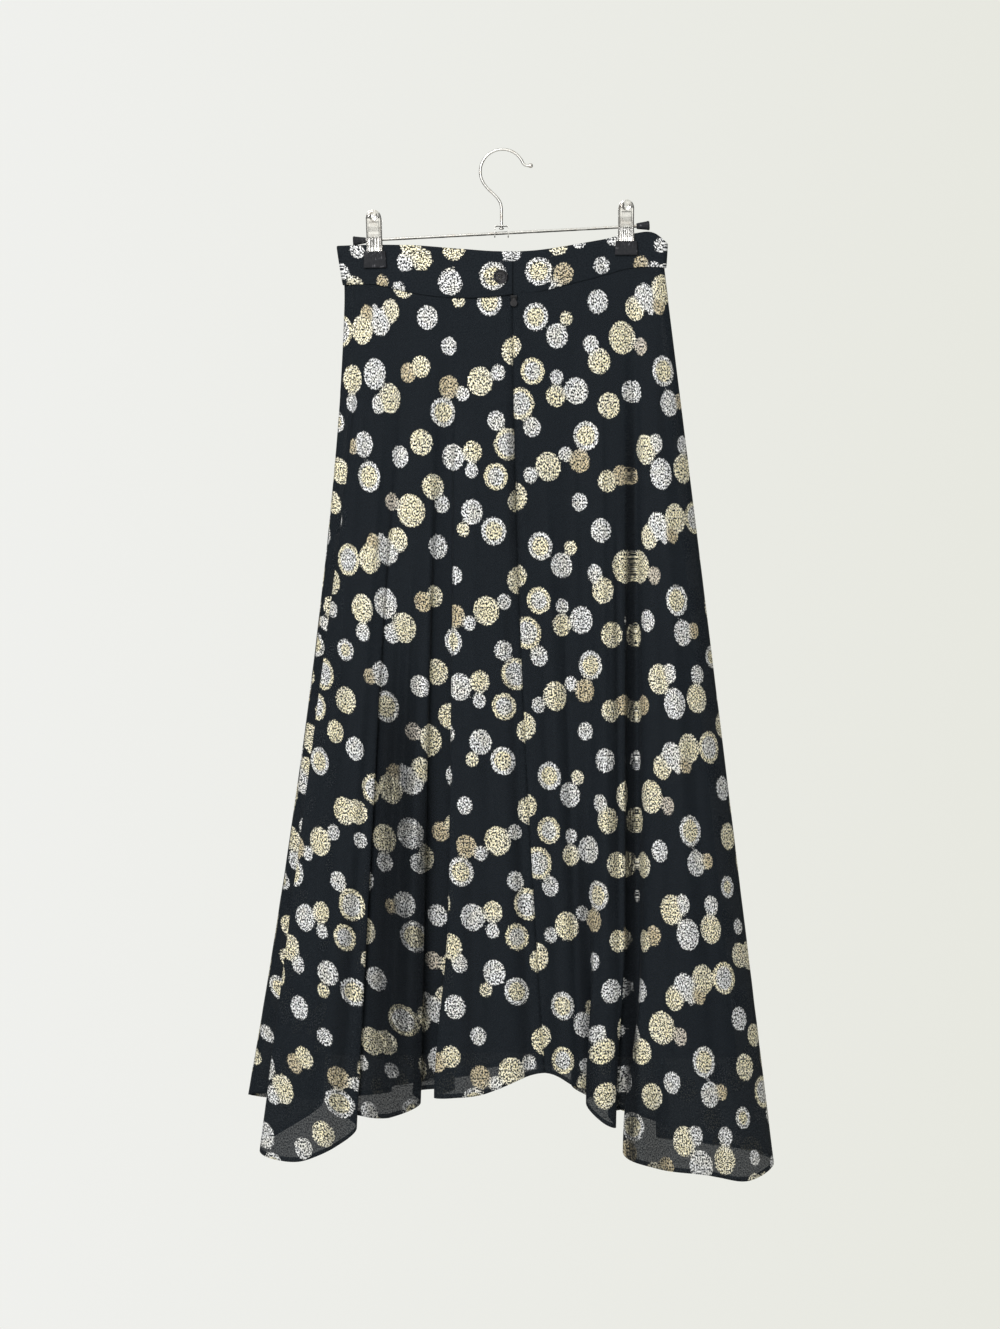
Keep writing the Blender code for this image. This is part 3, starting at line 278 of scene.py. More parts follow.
# Painted shade where fine pleats, which the mesh lacks, dim the print in streaks and darken
# the cloth: x at the waist and at the hem, from and to as shares of the length, half width
# at the hem, and how much shade is painted.
PleatShade = namedtuple("PleatShade", "waist_x hem_x start end width most")
PLEAT_SHADE = [
    PleatShade(-99.0, -112.0, 0.40, 1.20, 26.0, 0.80),
    PleatShade(-66.0, -84.0, 0.52, 1.20, 12.0, 0.85),
    PleatShade(-118.0, -168.0, 0.62, 1.20, 9.0, 0.45),
    PleatShade(128.0, 128.5, 0.10, 1.20, 7.5, 0.92),
    PleatShade(116.0, 108.0, 0.30, 0.80, 6.0, 0.45),
    PleatShade(140.0, 152.0, 0.86, 1.20, 13.0, 0.75),
    PleatShade(155.0, 172.0, 0.04, 0.26, 7.0, 0.60),
    PleatShade(-10.0, 24.0, 0.30, 1.20, 5.0, 0.40),
    PleatShade(5.0, 28.0, 0.06, 0.46, 9.0, 0.65),
    PleatShade(72.0, 84.0, 0.62, 1.20, 7.0, 0.55),
    PleatShade(-40.0, -34.0, 0.60, 1.20, 6.0, 0.35),
]
FAR_PLEAT_SHADE = [
    PleatShade(118.0, 160.0, 0.30, 1.20, 12.0, 0.75),
    PleatShade(52.0, 76.0, 0.20, 1.20, 10.0, 0.70),
    PleatShade(-14.0, -34.0, 0.36, 1.20, 9.0, 0.65),
    PleatShade(-68.0, -114.0, 0.28, 1.20, 11.0, 0.75),
    PleatShade(-150.0, -246.0, 0.55, 1.20, 12.0, 0.60),
]

LINING_HEM = 12.0
TAPE_DROP = 3.5
TAPE_LENGTH = 232.0
TAPE_HALF = 12.0
TAPE_BEHIND = 1.3
TAPE_CELLS = (150, 33)  # rows and columns of points
TAPE_CUP = 0.12  # its edges lie this much further back
COIL_HALF = 1.9
COIL_HEIGHT = 0.5
TOOTH_HEIGHT = 0.35
TOOTH_PITCH = 2.4
BUTTON_Z = -126.9
BUTTON_PITCH = 3.0
BUTTON_SINK = 0.95  # its middle lies this far behind its front
HOLE_LEFT, HOLE_RIGHT = -18.3, -8.6
HOLE_STITCHES = 18
HOLE_FAN = range(90, 271, 30)  # degrees, round the slit's open end
HOLE_DROP = 2.2  # the slit lies this far below the button's middle
FACE_INSET = 0.05  # the band's face lies this far in front of the button's back
# a stitch's points: how far from the slit sideways, up or down, and behind the face
STITCH = [(0.25, 0.25, 0.15), (0.80, 0.75, -0.22), (1.35, 1.25, 0.10)]
HOLE_THREAD = 0.19  # radii
BUTTON_THREAD = 0.24
THREAD_APART = 0.22  # the two threads of a pair, each way
THREAD_POINTS = 9
THREAD_RISE = 0.42
THREAD_OVER = 0.12  # the upper pair lies this much higher
THREAD_DIVE = 0.86  # beyond this share of its half length a thread goes into its hole
THREAD_DEEP = 2.2

# --- the print: one repeat of the cloth, in millimetres of the uncut cloth ----------------
REPEAT_WIDE = 262.0
REPEAT_TALL = 229.0
PRINT_TOP = -149.3  # the height where the repeat's rows are counted from
FLIP_V = 249.0  # the left panel is cut from the cloth turned round
# the lines of the right panel's outer fall and of the pleats beside it, for steadied()
RIGHT_STEADY = (10, 7.5, 5)
Dot = namedtuple("Dot", "u v wide tint")
REPEAT = [
    Dot(97.5, 2.0, 24.0, "silver"),
    Dot(180.0, 6.0, 18.0, "bronze"),
    Dot(168.0, 11.0, 9.0, "silver"),
    Dot(146.0, 8.5, 25.0, "gold"),
    Dot(26.5, 17.5, 28.0, "ring"),
    Dot(61.3, 19.0, 14.5, "gold"),
    Dot(50.5, 36.5, 25.0, "silver"),
    Dot(127.0, 38.0, 33.0, "gold"),
    Dot(-2.0, 47.0, 23.0, "gold"),
    Dot(150.5, 47.0, 18.0, "dim"),
    Dot(89.0, 44.6, 18.0, "silver"),
    Dot(98.5, 61.7, 26.0, "gold"),
    Dot(22.3, 71.7, 27.0, "rim"),
    Dot(49.7, 77.6, 15.0, "silver"),
    Dot(48.3, 96.5, 22.0, "gold"),
    Dot(71.5, 91.2, 27.0, "silver"),
    Dot(181.0, 71.7, 31.0, "ring"),
    Dot(109.0, 106.0, 26.0, "gold"),
    Dot(187.0, 104.0, 26.0, "silver"),
    Dot(203.0, 102.0, 16.0, "bronze"),
    Dot(136.0, 92.0, 22.0, "silver"),
    Dot(7.5, 104.0, 32.0, "rim"),
    Dot(20.4, 127.4, 20.0, "silver"),
    Dot(82.0, 136.3, 29.0, "ring"),
    Dot(163.5, 144.5, 20.0, "silver"),
    Dot(205.0, 145.7, 19.0, "silver"),
    Dot(148.0, 150.0, 30.0, "gold"),
    Dot(58.0, 154.6, 15.0, "silver"),
    Dot(74.0, 161.6, 23.0, "bronze"),
    Dot(38.0, 167.0, 29.0, "gold"),
    Dot(202.0, 169.3, 29.0, "gold"),
    Dot(169.0, 174.6, 31.0, "silver"),
    Dot(17.4, 175.8, 16.0, "silver"),
    Dot(122.0, 175.8, 20.0, "bronze"),
    Dot(106.0, 181.7, 22.0, "gold"),
    Dot(-1.0, 197.0, 28.0, "gold"),
    Dot(73.0, 202.3, 18.0, "silver"),
    Dot(186.0, 219.0, 30.0, "gold"),
    Dot(217.0, 218.0, 32.0, "rim"),
    Dot(159.5, 226.5, 28.0, "silver"),
    Dot(236.0, 30.0, 24.0, "silver"),
    Dot(240.0, 78.0, 27.0, "gold"),
    Dot(232.0, 128.0, 22.0, "ring"),
    Dot(246.0, 168.0, 16.0, "silver"),
    Dot(244.0, 196.0, 25.0, "gold"),
]
FULLNESS = 1.14  # how much wider the uncut cloth is than it hangs
OUTER_FULLNESS = 0.30  # and how much more towards a panel's outer side,
OUTER_START, OUTER_EASE = 0.5, 0.2  # from and over these shares of its width,
OUTER_LOSS = 0.3  # less this share of it at the hem
BAND_WIDE = 322.0  # the band's own repeat: once along the near side, once along the far
BAND_DOTS = [  # x and height on the near side
    Dot(-159.5, -121.2, 17.0, "silver"),
    Dot(-147.5, -134.0, 16.0, "gold"),
    Dot(-140.5, -100.6, 15.0, "silver"),
    Dot(-94.9, -112.0, 17.5, "silver"),
    Dot(-78.6, -109.3, 22.0, "gold"),
    Dot(-88.5, -95.5, 20.0, "gold"),
    Dot(-47.2, -99.5, 22.0, "gold"),
    Dot(-51.5, -132.6, 25.0, "silver"),
    Dot(-119.3, -130.4, 13.0, "bronze"),
    Dot(-103.5, -137.5, 13.0, "silver"),
    Dot(-9.2, -126.1, 28.0, "ring"),
    Dot(9.0, -101.5, 20.0, "silver"),
    Dot(36.0, -121.3, 28.0, "ring"),
    Dot(60.6, -123.6, 21.0, "bronze"),
    Dot(54.9, -96.0, 19.0, "gold"),
    Dot(75.5, -92.0, 13.0, "silver"),
    Dot(52.6, -138.5, 13.0, "silver"),
    Dot(98.5, -115.0, 17.0, "silver"),
    Dot(110.0, -88.6, 14.0, "silver"),
    Dot(138.0, -112.5, 15.0, "bronze"),
    Dot(150.8, -116.0, 11.0, "silver"),
    Dot(157.5, -94.5, 15.0, "silver"),
]
# how gold the middle and the rim are, and how dim the dot is
TINTS = {
    "gold": (1.0, 0.85, 0.0),
    "silver": (0.1, 0.0, 0.0),
    "bronze": (1.0, 0.9, 0.55),
    "ring": (1.0, 0.05, 0.0),
    "rim": (0.1, 1.0, 0.0),
    "dim": (0.1, 0.1, 0.5),
}
TINT_BLEND = 2.0  # between two dots the tint changes over this many millimetres

# --- colours, linear ----------------------------------------------------------------------
BLACK_CLOTH = (0.0060, 0.0085, 0.0120, 1.0)
BLACK_THREAD = (0.0135, 0.0175, 0.0225, 1.0)
# painted shade of the cloth in its pleats
PLEAT_SHADE_CLOTH = (0.0020, 0.0028, 0.0040, 1.0)
SILVER = (0.84, 0.85, 0.88, 1.0)
GOLD = (0.95, 0.87, 0.60, 1.0)
BRONZE = (0.42, 0.31, 0.17, 1.0)
# painted glints on the metal thread
GLINT = (1.0, 1.0, 0.96, 1.0)
METAL_SHARE = 0.35  # how metallic a cut metal thread looks
SHEER = 0.94  # how much one layer of chiffon covers
STEEL = (0.80, 0.79, 0.77, 1.0)
HAZED_STEEL = (0.62, 0.57, 0.52, 1.0)
# painted shade and reflection on the steel's undersides and sides
SHADED_STEEL = (0.03, 0.03, 0.03, 1.0)
RUBBER = (0.015, 0.016, 0.020, 1.0)
WORN_RUBBER = (0.12, 0.12, 0.135, 1.0)
BUTTON_COLOURS = [(0.008, 0.008, 0.010, 1.0), (0.026, 0.025, 0.030, 1.0)]
LINING_COLOURS = [(0.006, 0.007, 0.009, 1.0), (0.016, 0.018, 0.022, 1.0)]
TAPE_COLOURS = [(0.007, 0.007, 0.009, 1.0), (0.022, 0.022, 0.026, 1.0)]
ZIP_COLOURS = [(0.010, 0.010, 0.012, 1.0), (0.045, 0.043, 0.043, 1.0)]
THREAD_COLOURS = [(0.010, 0.010, 0.012, 1.0), (0.035, 0.035, 0.04, 1.0)]
FLOOR_COLOURS = [(0.80, 0.80, 0.77, 1.0), (0.84, 0.84, 0.81, 1.0)]
WALL_COLOURS = [(0.875, 0.880, 0.858, 1.0), (0.795, 0.800, 0.735, 1.0)]
CARD_COLOUR = (0.12, 0.12, 0.12, 1.0)


def smoothstep(value):
    value = np.clip(value, 0.0, 1.0)
    return value * value * (3.0 - 2.0 * value)


# --- sections of the cloth ------------------------------------------------------------------
def band_edge(x, edge):
    """Height of the waistband's top or low edge at x, on a smooth line through its rows."""
    xs = np.array([row.x for row in BAND_EDGES])
    zs = np.array([getattr(row, edge) for row in BAND_EDGES])
    x = np.clip(x, xs[0], xs[-1])
    i = np.clip(np.searchsorted(xs, x, side="right") - 1, 0, len(xs) - 2)
    slopes = np.gradient(zs, xs)
    width = xs[i + 1] - xs[i]
    t = (x - xs[i]) / width
    return (
        zs[i] * (1 + 2 * t) * (1 - t) ** 2
        + slopes[i] * width * t * (1 - t) ** 2
        + zs[i + 1] * t * t * (3 - 2 * t)
        + slopes[i + 1] * width * t * t * (t - 1)
    )


def bulge(x):
    """1 between the clips and 0 at and beyond them."""
    return np.maximum(0.0, 1.0 - (np.asarray(x) / BULGE_HALF_WIDTH) ** 4)


def ring_points(rows, shares, half_depth, swells):
    """The lines' own points, as shares x lines x 3."""
    table = np.array([line for line, _ in rows])
    side = np.array([side for _, side in rows])
    swell = np.array([swells[side] for _, side in rows])
    waist_x, hem_x, hem_y, hem_z, power, flick = table.T
    share = np.asarray(shares)[:, None]
    x = waist_x + (hem_x - waist_x) * share**power
    x += flick * smoothstep((share - FLICK_START) / (1.0 - FLICK_START))
    waist_y = side * (half_depth + swell * bulge(waist_x))
    y = waist_y + (hem_y - waist_y) * (1.0 - (1.0 - share) ** DEPTH_POWER)
    waist_z = band_edge(waist_x, "low") - WAIST_GAP
    z = waist_z + (hem_z - waist_z) * share
    return np.stack([x, y, z], axis=2)


def smooth_between(points):
    """FINE points on each stretch of a smooth curve through each ring of points."""
    p0, p1, p2, p3 = (np.roll(points, k, axis=1)[:, :, None, :] for k in (1, 0, -1, -2))

    def root_length(one, two):
        return np.linalg.norm(two - one, axis=3, keepdims=True) ** 0.5

    t1 = root_length(p0, p1)
    t2 = t1 + root_length(p1, p2)
    t3 = t2 + root_length(p2, p3)
    t = t1 + (t2 - t1) * (np.arange(FINE) / FINE)[None, None, :, None]
    a1 = p0 + (p1 - p0) * t / t1
    a2 = p1 + (p2 - p1) * (t - t1) / (t2 - t1)
    a3 = p2 + (p3 - p2) * (t - t2) / (t3 - t2)
    b1 = a1 + (a2 - a1) * t / t2
    b2 = a2 + (a3 - a2) * (t - t1) / (t3 - t1)
    curve = b1 + (b2 - b1) * (t - t1) / (t2 - t1)
    return curve.reshape(points.shape[0], -1, 3)


def soften(curve, reach):
    """Each point of a closed curve becomes the mean of its neighbours within reach."""
    steps = np.linalg.norm(np.roll(curve, -1, axis=0) - curve, axis=1)
    along = np.concatenate([[0.0], np.cumsum(steps)])
    total = along[-1]
    along = along[:-1]
    apart = np.abs(along[:, None] - along[None, :])
    apart = np.minimum(apart, total - apart)
    weights = np.exp(-0.5 * (apart / reach) ** 2) * (steps + np.roll(steps, 1))[None, :]
    return weights @ curve / weights.sum(axis=1, keepdims=True)


def ring_grid(rows, shares, half_depth, swells):
    """The cloth's ring as rows x columns points and its normals, which point outwards."""
    rings = smooth_between(ring_points(rows, shares, half_depth, swells))
    reach = SOFT_AT_WAIST + (SOFT_AT_HEM - SOFT_AT_WAIST) * np.sqrt(shares)
    grid = np.array([soften(ring, width) for ring, width in zip(rings, reach)])
    return grid, ring_normals(grid)


def ring_normals(grid):
    ahead = np.roll(grid, -1, axis=1) - grid
    ahead /= np.linalg.norm(ahead, axis=2, keepdims=True)
    both = ahead + np.roll(ahead, 1, axis=1)
    normals = np.cross(np.gradient(grid, axis=0), both)
    return normals / np.linalg.norm(normals, axis=2, keepdims=True)


# --- creases --------------------------------------------------------------------------------
def on_fall(row, x, share):
    """How far x lies from a row's line, in its half widths, and how strong the row is
    there, share of the way down."""
    middle = row.waist_x + (row.hem_x - row.waist_x) * share
    width = row.width * (CREASE_WAIST_WIDTH + (1 - CREASE_WAIST_WIDTH) * share)
    rise = smoothstep((share - row.start) / CREASE_FADE)
    if row.end < 1.0:
        rise *= 1 - smoothstep((share - row.end + CREASE_FADE) / CREASE_FADE)
    return (x - middle) / width, rise


def crease_field(creases, x, share):
    """How far the cloth stands out at x, share of the way down."""
    out = np.zeros_like(x)
    for crease in creases:
        away, rise = on_fall(crease, x, share)
        out += crease.depth * rise * np.exp(-(away**2))
    return out


def pucker_field(away, z):
    """The zip's puckers: away is the distance to the right of the seam."""
    out = np.zeros_like(away)
    for pucker in PUCKERS:
        across = np.exp(-(((away - pucker.away) / PUCKER_WIDTH) ** 2))
        rise = z - pucker.z - pucker.slope * (np.abs(away) - abs(pucker.away))
        out += pucker.depth * across * np.exp(-((rise / pucker.half) ** 2))
    return out


def crumple(grid, seed):
    """A fine seeded unevenness for each point."""
    flat = grid.reshape(-1, 3) / CRUMPLE_SIZE * CRUMPLE_GRAIN
    away = Vector((seed, seed * 0.37, seed * 1.7))
    values = [noise.noise(Vector(point) + away) for point in flat]
    return np.array(values).reshape(grid.shape[:2])


def shell_grid():
    """The whole skirt's ring with its creases, its normals, how much painted shade its
    pleats get, and the columns of the centre and the right seam."""
    rows = [(LEFT_SIDE, 0)]
    rows += [(line, -1) for line in NEAR_LEFT]
    rows += [(SEAM_LINE, -1)]
    rows += [(line, -1) for line in NEAR_RIGHT]
    rows += [(RIGHT_SIDE, 0)]
    rows += [(line, 1) for line in FAR]
    swells = {-1: NEAR_BULGE, 0: 0.0, 1: FAR_BULGE}
    shares = np.linspace(0.0, 1.0, SHELL_ROWS)
    grid, normals = ring_grid(rows, shares, WAIST_HALF_DEPTH, swells)
    share = np.repeat(shares[:, None], grid.shape[1], axis=1)
    seam, right = SEAM_NUMBER * FINE, RIGHT_NUMBER * FINE
    near = slice(0, right + 1)
    x, z = grid[:, :, 0], grid[:, :, 2]
    place = np.arange(grid.shape[1])
    near_weight = smoothstep(np.minimum(place, right - place) / SIDE_CALM)
    last = grid.shape[1]
    far_weight = smoothstep(np.minimum(place - right, last - place) / SIDE_CALM)
    out = -near_weight * crease_field(NEAR_CREASES, x, share)
    away = x - x[:, seam : seam + 1]
    out[:, near] -= pucker_field(away[:, near], z[:, near])
    out += far_weight * crease_field(FAR_CREASES, x, share)
    grid[:, :, 1] += out
    grid += normals * (CRUMPLE * share * crumple(grid, SHELL_SEED))[:, :, None]
    for column in (0, seam, right):
        off = np.linalg.norm(grid - grid[:, column : column + 1], axis=2)
        grid -= normals * (SEAM_DIP * np.exp(-((off / SEAM_DIP_WIDTH) ** 2)))[:, :, None]
    # painted shade of the pleats, near side and far side
    pleat_shade = pleat_shade_field(PLEAT_SHADE, x, share) * (place <= right)
    pleat_shade += pleat_shade_field(FAR_PLEAT_SHADE, x, share) * (place > right)
    return grid, ring_normals(grid), pleat_shade, seam, right


def pleat_shade_field(zones, x, share):
    """How much painted shade fine pleats get, from 0 to 1."""
    out = np.zeros_like(x)
    for zone in zones:
        away, rise = on_fall(zone, x, share)
        out = np.maximum(out, zone.most * rise * np.exp(-(away**4)))
    return out


# --- the print --------------------------------------------------------------------------------
def nearest_dots(u, v, dots, wide, tall):
    """For each point how far it lies inside the nearest dot, and that dot's tints. Where
    wide or tall is given the dots repeat."""
    shape = u.shape
    u, v = u.ravel(), v.ravel()
    inside = np.full(u.size, -REPEAT_WIDE)
    total = np.zeros(u.size)
    tints = np.zeros((u.size, 3))
    for dot in dots:
        du, dv = u - dot.u, v - dot.v
        if wide:
            du = (du + wide / 2) % wide - wide / 2
        if tall:
            dv = (dv + tall / 2) % tall - tall / 2
        depth = dot.wide / 2 - np.hypot(du, dv)
        weight = np.exp(np.clip(depth / TINT_BLEND, -30.0, 10.0))
        inside = np.maximum(inside, depth)
        total += weight
        tints += weight[:, None] * np.array(TINTS[dot.tint])
    tints /= np.maximum(total, 1e-20)[:, None]
    return np.column_stack([inside, tints]).reshape(*shape, 4)


def cloth_widths(grid, start):
    """Distance along each row from column start, counted as in the uncut cloth: the rows
    are held in by fine gathers that widen it, more of them further out."""
    steps = np.linalg.norm(np.diff(grid[:, :, :2], axis=1), axis=2)
    along = np.concatenate([np.zeros((len(grid), 1)), np.cumsum(steps, axis=1)], axis=1)
    along = np.abs(along - along[:, start : start + 1])
    far_share = along / along.max(axis=1, keepdims=True)
    share = np.linspace(0.0, 1.0, len(grid))[:, None]
    outer = smoothstep((far_share - OUTER_START) / OUTER_EASE)
    fullness = FULLNESS + OUTER_FULLNESS * outer * (1 - OUTER_LOSS * share)
    steps = np.diff(along, axis=1)
    middle = (fullness[:, 1:] + fullness[:, :-1]) / 2
    u = np.concatenate([np.zeros((len(grid), 1)), np.cumsum(steps * middle, axis=1)], axis=1)
    return np.abs(u - u[:, start : start + 1])


def steadied(u, anchor, still, free):
    """Keeps the print upright on an outer fall of cloth, around column anchor: the width
    that opens towards the hem is taken up in the pleats between columns free and still."""
    drift = u[:, anchor : anchor + 1] - u[0, anchor]
    share = smoothstep((np.arange(u.shape[1]) - free) / (still - free))
    return u - drift * share[None, :]


# --- meshes -----------------------------------------------------------------------------------
def add_piece(name, data, look, replaced=(), smooth=True):
    thing = bpy.data.objects.new(name, data)
    bpy.context.scene.collection.objects.link(thing)
    data.materials.append(look)
    if smooth:
        data.shade_smooth()
    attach(thing, "root")
    if replaced:
        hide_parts(*replaced)
    return thing


def grid_mesh(name, grid, attributes=None):
    """A sheet mesh from rows x columns points in millimetres. attributes maps a name to
    one value or three for each point."""
    rows, columns = grid.shape[:2]
    number = np.arange(rows * columns).reshape(rows, columns)
    corners = [number[:-1, :-1], number[1:, :-1], number[1:, 1:], number[:-1, 1:]]
    faces = np.stack(corners, axis=2).reshape(-1, 4)
    data = bpy.data.meshes.new(name)
    data.from_pydata((grid.reshape(-1, 3) * MM).tolist(), [], faces.tolist())
    for key, values in (attributes or {}).items():
        kind, field = ("FLOAT", "value") if values.ndim == 2 else ("FLOAT_VECTOR", "vector")
        made = data.attributes.new(key, kind, "POINT")
        made.data.foreach_set(field, np.ascontiguousarray(values, np.float32).ravel())
    data.update()
    return data


def turned(grid, normals, extra, axis, last, wide):
    """Adds a turning to one edge of a sheet: it folds over behind and lies back by wide.
    extra holds what each point carries besides its place, and is widened with it."""
    whole = np.concatenate([grid, extra], axis=2)
    push = np.concatenate([normals, np.zeros_like(extra)], axis=2)
    steps = [(0.0, FOLD_DEPTH * 0.5), (0.25, FOLD_DEPTH), (wide * 0.5, FOLD_DEPTH)]
    steps.append((wide, FOLD_DEPTH * 0.9))
    lines = [back_line(whole, push, axis, last, far, deep) for far, deep in steps]
    block = np.stack(lines, axis=axis)
    wall = np.repeat(np.take(normals, [-1 if last else 0], axis=axis), len(steps), axis=axis)
    if last:
        whole = np.concatenate([whole, block], axis=axis)
        normals = np.concatenate([normals, wall], axis=axis)
    else:
        whole = np.concatenate([np.flip(block, axis), whole], axis=axis)
        normals = np.concatenate([wall, normals], axis=axis)
    return whole[:, :, :3], normals, whole[:, :, 3:]


def back_line(whole, push, axis, last, distance, depth):
    """A line of points that lies back from one edge by distance, depth behind the cloth.
    whole holds each point's place and what else it carries."""
    places = np.moveaxis(whole[:, :, :3], axis, 0)
    lines = np.moveaxis(whole - push * depth, axis, 0)
    if last:
        places, lines = places[::-1], lines[::-1]
    reach = min(len(places), TURN_REACH)
    places, lines = places[:reach], lines[:reach]
    steps = np.linalg.norm(np.diff(places, axis=0), axis=2)
    along = np.concatenate([np.zeros((1, places.shape[1])), np.cumsum(steps, axis=0)])
    made = np.empty((lines.shape[1], lines.shape[2]))
    for j in range(lines.shape[1]):
        for k in range(lines.shape[2]):
            made[j, k] = np.interp(distance, along[:, j], lines[:, j, k])
    return made


def tucked(grid, normals, extra):
    """Runs a panel's upper edge up into the waistband."""
    top = grid[:1].copy()
    top[:, :, 2] += TUCK
    grid = np.concatenate([top, grid])
    normals = np.concatenate([normals[:1], normals])
    return grid, normals, np.concatenate([extra[:1], extra])


def skirt_panel(name, ring, first, last, start, steady, flipped, look, node):
    """One panel from column first to last of the ring, printed from its column start.
    steady is None, or the lines for steadied()."""
    grid, normals, pleat_shade = ring
    columns = [k % grid.shape[1] for k in range(first, last + 1)]
    grid, normals, pleat_shade = grid[:, columns], normals[:, columns], pleat_shade[:, columns]
    u = cloth_widths(grid, start)
    if steady:
        u = steadied(u, *[round(number * FINE) for number in steady])
    v = PRINT_TOP - grid[:, :, 2]
    if flipped:
        v = FLIP_V - v
    dots = nearest_dots(u, v, REPEAT, REPEAT_WIDE, REPEAT_TALL)
    parts = [u[:, :, None], v[:, :, None], dots, pleat_shade[:, :, None]]
    extra = np.concatenate(parts, axis=2)
    grid, normals, extra = tucked(grid, normals, extra)
    grid, normals, extra = turned(grid, normals, extra, 0, True, HEM_TURN)
    grid, normals, extra = turned(grid, normals, extra, 1, False, SEAM_ALLOWANCE)
    grid, normals, extra = turned(grid, normals, extra, 1, True, SEAM_ALLOWANCE)
    attributes = {
        "cloth": extra[:, :, [0, 1, 5]],
        "dots": extra[:, :, 2:5],
        # the painted shade of the pleats
        "pleat_shade_mask": extra[:, :, 6],
    }
    return add_piece(name, grid_mesh(name, grid, attributes), look, [node])


# --- materials ----------------------------------------------------------------------------------
class Nodes:
    """A short way to write a material's nodes."""

    def __init__(self, name):
        self.material = bpy.data.materials.new(name)
        self.material.use_nodes = True
        self.tree = self.material.node_tree
        self.shader = self.tree.nodes["Principled BSDF"]

    def add(self, kind, inputs=None, **settings):
        node = self.tree.nodes.new("ShaderNode" + kind)
        for key, value in settings.items():
            setattr(node, key, value)
        for key, value in (inputs or {}).items():
            self.put(node.inputs[key], value)
        return node

    def put(self, socket, value):
        if isinstance(value, bpy.types.NodeSocket):
            self.tree.links.new(value, socket)
        else:
            socket.default_value = value

    def math(self, operation, one, two=0.0, clamp=False):
        node = self.add("Math", {0: one, 1: two}, operation=operation, use_clamp=clamp)
        return node.outputs[0]

    def ramp(self, value, low, high, to_low=0.0, to_high=1.0):
        inputs = {"Value": value, "From Min": low, "From Max": high}
        inputs.update({"To Min": to_low, "To Max": to_high})
        return self.add("MapRange", inputs, interpolation_type="SMOOTHSTEP").outputs[0]

    def mix(self, factor, one, two):
        node = self.add("Mix", {0: factor, 6: one, 7: two}, data_type="RGBA")
        return node.outputs[2]

    def noise(self, vector, scale, detail=2.0, roughness=0.5):
        inputs = {"Vector": vector, "Scale": scale, "Detail": detail, "Roughness": roughness}
        return self.add("TexNoise", inputs).outputs["Fac"]

    def stretched(self, vector, scale):
        return self.add("Mapping", {"Vector": vector, "Scale": scale}).outputs[0]

    def attribute(self, name):
        node = self.add("Attribute", attribute_name=name)
        return tuple(self.add("SeparateXYZ", {0: node.outputs["Vector"]}).outputs)

    def bump(self, height, strength, distance):
        inputs = {"Height": height, "Strength": strength, "Distance": distance}
        return self.add("Bump", inputs).outputs[0]

    def set(self, **sockets):
        for key, value in sockets.items():
            self.put(self.shader.inputs[key.replace("_", " ")], value)
        return self.material


